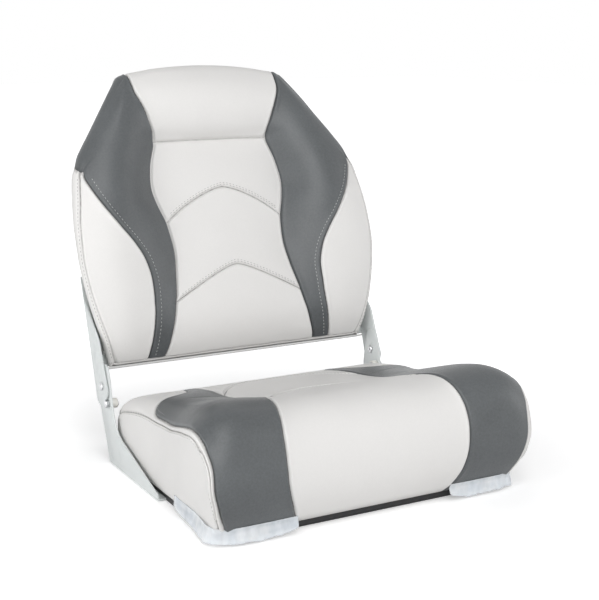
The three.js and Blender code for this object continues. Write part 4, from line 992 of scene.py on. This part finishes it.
turn_steps = [
    (2.9, 0.02, 0.05), (5.6, 0.05, 0.12), (7.9, 0.12, 0.22), (9.5, 0.3, 0.37), (10.1, 0.5, 0.55),
    (9.9, 0.75, 0.74), (9.2, 0.95, 0.91), (7.4, 1.0, 0.985), (4.0, 1.0, 1.0), (-1.0, 1.0, 1.0),
]
front_faces = set(back_cover.faces)
for step in turn_steps:
    rim = extruded_rim(back_cover, rim, lambda vert: turned_place(*rim_facts[vert[back_rim]], step))
for face in back_cover.faces:
    if face in front_faces:
        continue
    grown_from = [rim_facts[vert[back_rim]][0] for vert in face.verts]
    centre = sum(grown_from, Vector()) / len(grown_from) / MM
    side = 1 if centre.x > 0 else -1
    up = centre.z - BACK_FOOT
    is_dark = up >= SHOULDER_UP and abs(centre.x) > back_inner(up)
    if up < 0.2:
        face[back_panels] = FOOT_STRIP
    elif up < SHOULDER_UP:
        face[back_panels] = SIDE_STRIPS + side
    else:
        face[back_panels] = DARK_BANDS + side if is_dark else 3
    face.material_index = 1 if is_dark else 0
bmesh.ops.recalc_face_normals(back_cover, faces=back_cover.faces)
for vert in back_cover.verts:
    vert.co = leaning(vert.co / MM) * MM
print("back cover:", len(back_cover.verts), "points,", len(open_edges(back_cover)), "open edges")

# %% [markdown]
# ## Stuffing the covers
#
# Foam presses a sewn cover outwards everywhere except at its seams. Blender's Cloth does that with
# an inner pressure and no gravity. The cover starts a millimetre inside its final size, its seams
# are pinned, and after twenty frames the move of each point is capped, so that nothing swells past
# the foam block it covers. The strips beside the steel arms keep a small cap, because there the
# cushion has to stay clear of the metal. The result is written into the mesh, and no Cloth stays.

# %% Find the seams
def seam_tree(mesh, panel_layer, spacing=0.0012):
    """Points close together along every edge between two panels, in a tree for quick search."""
    points = []
    for edge in mesh.edges:
        if len({face[panel_layer] for face in edge.link_faces}) > 1:
            a, b = (vert.co for vert in edge.verts)
            steps = max(1, int((b - a).length / spacing))
            points += [a.lerp(b, k / steps) for k in range(steps)]
    tree = KDTree(len(points))
    for number, point in enumerate(points):
        tree.insert(point, number)
    tree.balance()
    return tree


# %% Cloth with pressure
DRAWN_IN = 1.0
PINNED_WITHIN = 0.004
LAST_FRAME = 20


def stuffed(name, mesh, panel_layer, pressure, caps):
    """Shrinks the cover a little, stuffs it, and returns it as an object."""
    seams = seam_tree(mesh, panel_layer)
    mesh.normal_update()
    normals = [vert.normal.copy() for vert in mesh.verts]
    for vert, normal in zip(mesh.verts, normals):
        if caps(vert) > 0.0:
            vert.co -= normal * DRAWN_IN * MM
    start = np.array([vert.co for vert in mesh.verts])
    near = [exp(-((seams.find(vert.co)[2] / PINNED_WITHIN) ** 2)) for vert in mesh.verts]
    limits = np.array([caps(vert) for vert in mesh.verts])
    data = bpy.data.meshes.new(name)
    mesh.to_mesh(data)
    piece = linked_object(name, data)
    pins = piece.vertex_groups.new(name="pins")
    for number, (share, limit) in enumerate(zip(near, limits)):
        pins.add([number], 1.0 if limit <= 0.0 else min(1.0, share), "REPLACE")
    cloth = piece.modifiers.new("stuffing", "CLOTH")
    skin = cloth.settings
    skin.vertex_group_mass = "pins"
    skin.quality = 5
    skin.mass = 0.3
    skin.tension_stiffness = 18.0
    skin.compression_stiffness = 18.0
    skin.shear_stiffness = 8.0
    skin.bending_stiffness = 1.5
    skin.use_pressure = True
    skin.uniform_pressure_force = pressure
    skin.effector_weights.gravity = 0.0
    cloth.point_cache.frame_start = 1
    cloth.point_cache.frame_end = LAST_FRAME
    for step in range(1, LAST_FRAME + 1):
        bpy.context.scene.frame_set(step)
    swollen = piece.evaluated_get(bpy.context.evaluated_depsgraph_get())
    moved = np.array([vert.co for vert in swollen.data.vertices]) - start
    piece.modifiers.remove(cloth)
    bpy.context.scene.frame_set(1)
    lengths = np.maximum(np.linalg.norm(moved, axis=1), 1e-9)
    held = moved * np.minimum(1.0, limits * MM / lengths)[:, None]
    swelling = float(np.linalg.norm(held, axis=1).max()) / MM
    print(name, "swells up to", round(swelling, 2), "mm")
    for vert, place in zip(data.vertices, start + held):
        vert.co = place
    return piece


def seat_cap(vert):
    """The furthest that a point may move, in millimetres: least at the foot and by the arms."""
    x, y, z = (value / MM for value in vert.co)
    if z < FOOT_Z + 14.0:
        return 0.0
    if abs(x) > 196.0 and y > 0.0:
        return 1.0
    return 3.2


seat_cushion = stuffed("seat_cushion", seat_cover, seat_panels, 4.0, seat_cap)


def back_cap(vert):
    x, up, forward = in_back_frame(vert.co)
    if forward < COVER_REAR + 6.0:
        return 0.0
    if up < 6.0 or (up < 110.0 and abs(x) > 190.0):
        return 0.8
    if forward < 24.0:
        return 1.4
    return 3.0


back_cushion = stuffed("back_cushion", back_cover, back_panels, 8.0, back_cap)

# %% [markdown]
# ## Seams and folds
#
# A seam is a valley where two panels are drawn down to the thread, with a slight roll of the
# seam allowance on both sides of it. Each point near a seam is moved along its normal by its
# distance to the nearest seam: down close to it, a little up beside it. The thread also gathers
# the skin, so a fine noise across the seam adds small puckers that fade within a centimetre, and
# a broad one lets the large panels look hand-pulled instead of machined.

# %% Sink the seams
SEAM_DEPTH = 2.6
SEAM_WIDTH = 1.4
ROLL_HEIGHT = 0.9
ROLL_OFFSET = 3.2
ROLL_WIDTH = 1.6
PUCKERS = 0.55


def sewn_relief(piece, mesh, panel_layer, calm):
    """Moves the points of a cover for its seams and puckers, and returns the sunk seams."""
    for vert, moved in zip(mesh.verts, piece.data.vertices):
        vert.co = moved.co
    mesh.normal_update()
    seams = seam_tree(mesh, panel_layer)
    moves = []
    for vert in mesh.verts:
        distance = seams.find(vert.co)[2] * 1000.0
        sunk = SEAM_DEPTH * exp(-((distance / SEAM_WIDTH) ** 2))
        rolled = ROLL_HEIGHT * exp(-(((distance - ROLL_OFFSET) / ROLL_WIDTH) ** 2))
        gathered = PUCKERS * exp(-distance / 9.0) * noise.noise(vert.co * 95.0)
        pulled = 0.7 * noise.noise(vert.co * 14.0) + 0.3 * noise.noise(vert.co * 34.0)
        pulled *= 1.0 - exp(-distance / 25.0)
        moves.append((rolled - sunk + gathered + pulled) * calm(vert))
    for vert, move in zip(mesh.verts, moves):
        vert.co += vert.normal * move * MM
    mesh.to_mesh(piece.data)
    sunk_seams = seam_tree(mesh, panel_layer)
    mesh.free()
    return sunk_seams


def subdivided(piece):
    """One subdivision, written into the mesh, and a face over the side that was left open."""
    smooth = piece.modifiers.new("smooth", "SUBSURF")
    smooth.levels = 1
    smooth.render_levels = 1
    smooth.boundary_smooth = "PRESERVE_CORNERS"
    done = piece.evaluated_get(bpy.context.evaluated_depsgraph_get())
    data = bpy.data.meshes.new_from_object(done)
    piece.modifiers.remove(smooth)
    piece.data = data
    closing = bmesh.new()
    closing.from_mesh(data)
    bmesh.ops.holes_fill(closing, edges=open_edges(closing), sides=0)
    bmesh.ops.recalc_face_normals(closing, faces=closing.faces)
    left_open = len(open_edges(closing))
    closing.to_mesh(data)
    closing.free()
    smooth_faces(data)
    print(piece.name, "open edges:", left_open)


def seat_calm(vert):
    """How much of the seams and puckers a point takes part in, from 0 at the foot to 1."""
    height_mm = vert.co.z / MM
    return 0.0 if height_mm < FOOT_Z + 3.0 else min(1.0, (height_mm - FOOT_Z) / 20.0)


def back_calm(vert):
    return limited((in_back_frame(vert.co)[2] - COVER_REAR - 2.0) / 10.0)


# %% [markdown]
# The painted shade in the folds is a number kept on each point of the mesh. It is 1 at the thread
# and falls to 0 within about two millimetres. The finish reads it by name and darkens the colour
# with it.
# It follows the surface when the seat folds.

# %% Paint the shade in the folds
FOLD_SHADE_REACH = 0.95


def finished_cover(piece, mesh, panel_layer, calm):
    seams = sewn_relief(piece, mesh, panel_layer, calm)
    subdivided(piece)
    # painted shade: 1 at the thread, fading to 0 a little way from it
    distances = [seams.find(vert.co)[2] * 1000.0 for vert in piece.data.vertices]
    values = [exp(-((distance / FOLD_SHADE_REACH) ** 2)) for distance in distances]
    painted_fold_shade = piece.data.attributes.new("painted_seam_shade", "FLOAT", "POINT")
    painted_fold_shade.data.foreach_set("value", values)
    piece.data.materials.append(light_vinyl)
    piece.data.materials.append(charcoal_vinyl)
    count = sum(value > 0.5 for value in values)
    print(piece.name, len(piece.data.polygons), "faces,", count, "points in folds")


finished_cover(seat_cushion, seat_cover, seat_panels, seat_calm)
finished_cover(back_cushion, back_cover, back_panels, back_calm)

# %% [markdown]
# ## Thread
#
# A row of stitches is drawn on the flat pattern, a set distance from its seam, and then dropped on
# the stuffed cover: the nearest point of the surface gives the place and the upward direction of
# each stitch. One stitch is a small ball stretched along the row, with a few faces only, because
# there are more than a thousand of them.

# %% Stitch rows
STITCH_PITCH = 5.2
STITCH_LENGTH = 3.4
STITCH_WIDTH = 0.75


def surface_of(data):
    points = [vert.co for vert in data.vertices]
    return BVHTree.FromPolygons(points, [tuple(face.vertices) for face in data.polygons])


def evenly(points, pitch):
    lengths = [0.0]
    for a, b in zip(points, points[1:]):
        lengths.append(lengths[-1] + (b - a).length)
    table = np.array(points)
    wanted = np.arange(pitch / 2, lengths[-1], pitch)
    columns = [np.interp(wanted, lengths, table[:, axis]) for axis in range(3)]
    return [Vector(row) for row in zip(*columns)]


def sew(mesh, surface, line):
    size = (STITCH_LENGTH / 2, STITCH_WIDTH / 2, STITCH_WIDTH / 2.6, 1.0 / MM)
    size = Matrix.Diagonal(size) * MM
    on_cover = [surface.find_nearest(point * MM)[0] for point in line]
    spots = evenly(on_cover, STITCH_PITCH * MM)
    for here, after in zip(spots, spots[1:]):
        place, normal, _, _ = surface.find_nearest(here)
        along = (after - here).normalized()
        across = normal.cross(along).normalized()
        along = across.cross(normal)
        axes = Matrix((along, across, normal)).transposed().to_4x4()
        placed = Matrix.Translation(place + normal * 0.12 * MM) @ axes @ size
        bmesh.ops.create_icosphere(mesh, subdivisions=1, radius=1.0, matrix=placed)


def smooth_piece(name, mesh, material):
    data = bpy.data.meshes.new(name)
    mesh.to_mesh(data)
    mesh.free()
    smooth_faces(data)
    data.materials.append(material)
    return linked_object(name, data)


def thread_piece(name, surface, lines, material, body):
    mesh = bmesh.new()
    for line in lines:
        sew(mesh, surface, line)
    piece = smooth_piece(name, mesh, material)
    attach(piece, body)
    print(name, len(piece.data.polygons) // 20, "stitches")


# %% [markdown]
# On the back, a pale row runs down each dark band just inside its outer seam, two grey rows lie
# above each chevron, and one runs along each edge. On the seat, two grey rows follow the arc
# behind the insert and one the arc in front of it. One more runs down each side, and a pale one
# follows the rear tip of each dark panel.

# %% Rows on the back
def on_face(sign, x, up):
    return leaning(upright(sign * x, up, back_front(x, up)))


def chevron_line(sign, ends, rise):
    points = []
    for reach in np.linspace(0.0, 0.985, 41):
        up = chevron(ends, reach) + rise
        points.append(on_face(sign, reach * back_inner(up), up))
    return points


def edge_point(sign, up):
    return leaning(upright(sign * (face_edge(up) + 2.6), up, edge_depth(up) - 0.9))


back_surface = surface_of(back_cushion.data)
pale_rows = []
grey_rows = []
for sign in (1, -1):
    ups = np.linspace(4.0, 257.0, 120)
    pale_rows.append([on_face(sign, back_outer(up) - 8.5, up) for up in ups])
    for ends in (LOWER_CHEVRON, UPPER_CHEVRON):
        grey_rows += [chevron_line(sign, ends, rise) for rise in (2.9, 5.6)]
    grey_rows.append([edge_point(sign, up) for up in np.linspace(8.0, 258.0, 110)])
thread_piece("back_pale_stitches", back_surface, pale_rows, pale_thread, "backrest")
thread_piece("back_grey_stitches", back_surface, grey_rows, grey_thread, "backrest")

# %% Rows on the seat
def arc_row(arc, half, count, ahead):
    """A row beside an arc of the insert, a few millimetres ahead of it along the tape."""
    places = np.linspace(-half, half, count)
    return [seat_point(x, way_at(arc(abs(x))) + ahead) for x in places]


seat_surface = surface_of(seat_cushion.data)
grey_rows = []
pale_rows = []
for sign in (1, -1):
    ways = np.linspace(95.0, 545.0, 160)
    grey_rows.append([seat_side_point(sign, way, 0.03) for way in ways])
    ways = np.linspace(122.0, 245.0, 50)
    pale_rows.append([seat_point(sign * (seat_outer(way) - 5.0), way) for way in ways])
grey_rows += [arc_row(rear_arc, 100.0, 121, -3.4), arc_row(rear_arc, 100.0, 121, -6.6)]
grey_rows.append(arc_row(front_arc, 98.0, 110, 4.5))
thread_piece("seat_grey_stitches", seat_surface, grey_rows, grey_thread, "seat")
thread_piece("seat_pale_stitches", seat_surface, pale_rows, pale_thread, "seat")

# %% [markdown]
# ## Corner films
#
# Each lower front corner has a strip of clear film round it, from just under the dark panel down
# to the floor. It was cut by hand, so its lower edge is uneven, and it creases where it turns the
# corner. A grid is laid along the plan of the corner, its upper edge is drawn against the cover,
# and a slow noise pushes the loose lower edge in and out. Solidify gives it a real thickness.

# %% Corner films
guard_rows = [
    (108, -176), (30, -176), (17, -171.4), (5.8, -166.2), (0, -153.4), (2, -131.4), (5.2, -112),
    (6.8, -96), (8.1, -70), (8.7, -44),
]
FILM_TOP = 21.5
FILM_HEM = 2.2
FILM_END = 9.0
FILM_WALL = 0.25
HUG_LIMIT = 3.5
film_plan = swept_points([(SPAN - inset, y) for inset, y in guard_rows], 16)
film_ways = tape(film_plan)


def film_point(sign, share, rise):
    way = share * film_ways[-1]
    x, y = at_way(way, film_ways, film_plan)
    ahead = at_way(way + 2.0, film_ways, film_plan)
    behind = at_way(way - 2.0, film_ways, film_plan)
    run = Vector((ahead[0] - behind[0], ahead[1] - behind[1], 0.0)).normalized()
    out = Vector((run.y * sign, -run.x, 0.0))
    ragged = 2.6 * noise.noise(Vector((way / 19.0, 3.0 * sign, 0.0)))
    ragged += 1.2 * noise.noise(Vector((way / 5.0, 7.0 * sign, 0.0)))
    at_end = min(1.0, min(way, film_ways[-1] - way) / 26.0)
    low = mixed(FILM_END, FILM_HEM + ragged, sqrt(at_end))
    z = mixed(max(0.6, low), FILM_TOP, rise)
    fold = noise.noise(Vector((way / 21.0, z / 30.0, 5.0 * sign))) + 0.4
    plan = Vector((x * sign, y, max(z, FOOT_Z + 1.0)))
    near, _, _, gap = seat_surface.find_nearest(plan * MM)
    towards = near / MM - plan
    towards.z = 0.0
    if towards.length > 0.01:
        plan += towards.normalized() * limited(gap / MM - 0.5, 0.0, HUG_LIMIT) * rise
    plan += out * 1.6 * (1.0 - rise) * max(0.0, fold)
    return Vector((plan.x, plan.y, z))


def film_piece(name, sign, node):
    mesh = bmesh.new()
    made = bmesh.ops.create_grid(mesh, x_segments=110, y_segments=12, size=1.0)
    for vert in made["verts"]:
        vert.co = film_point(sign, (vert.co.x + 1.0) / 2.0, (vert.co.y + 1.0) / 2.0) * MM
    bmesh.ops.recalc_face_normals(mesh, faces=mesh.faces)
    centre = Vector((0.0, 0.0, 0.01))
    facing = sum(face.normal.dot(face.calc_center_median() - centre) for face in mesh.faces)
    if facing < 0:
        bmesh.ops.reverse_faces(mesh, faces=mesh.faces)
    piece = smooth_piece(name, mesh, corner_film)
    wall = piece.modifiers.new("wall", "SOLIDIFY")
    wall.thickness = FILM_WALL * MM
    wall.offset = 1.0
    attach(piece, "seat")
    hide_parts(node)


for hand, sign in (("right", 1), ("left", -1)):
    film_piece("corner_film_" + hand, sign, "corner_guard_" + hand)
print("film length:", round(float(film_ways[-1]), 1), "mm")

# %% [markdown]
# ## Joining the pieces to the mechanism
#
# The lower cushion rides on the seat and the back cushion on the backrest, which turns about the
# rivets. Each cushion stands for the foam block and all the covers of the CAD model, which stay
# behind for the physics only.

# %% Ride and replace
seat_nodes = [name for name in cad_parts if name.startswith("seat_") and name != "seat_pan"]
back_nodes = [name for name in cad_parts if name.startswith("back_") and name != "back_shell"]
back_nodes.append("head_panel")
cushions = ((seat_cushion, "seat", seat_nodes), (back_cushion, "backrest", back_nodes))
for piece, body, nodes in cushions:
    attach(piece, body)
    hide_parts(*nodes)
print("covers replaced:", len(seat_nodes), "and", len(back_nodes))
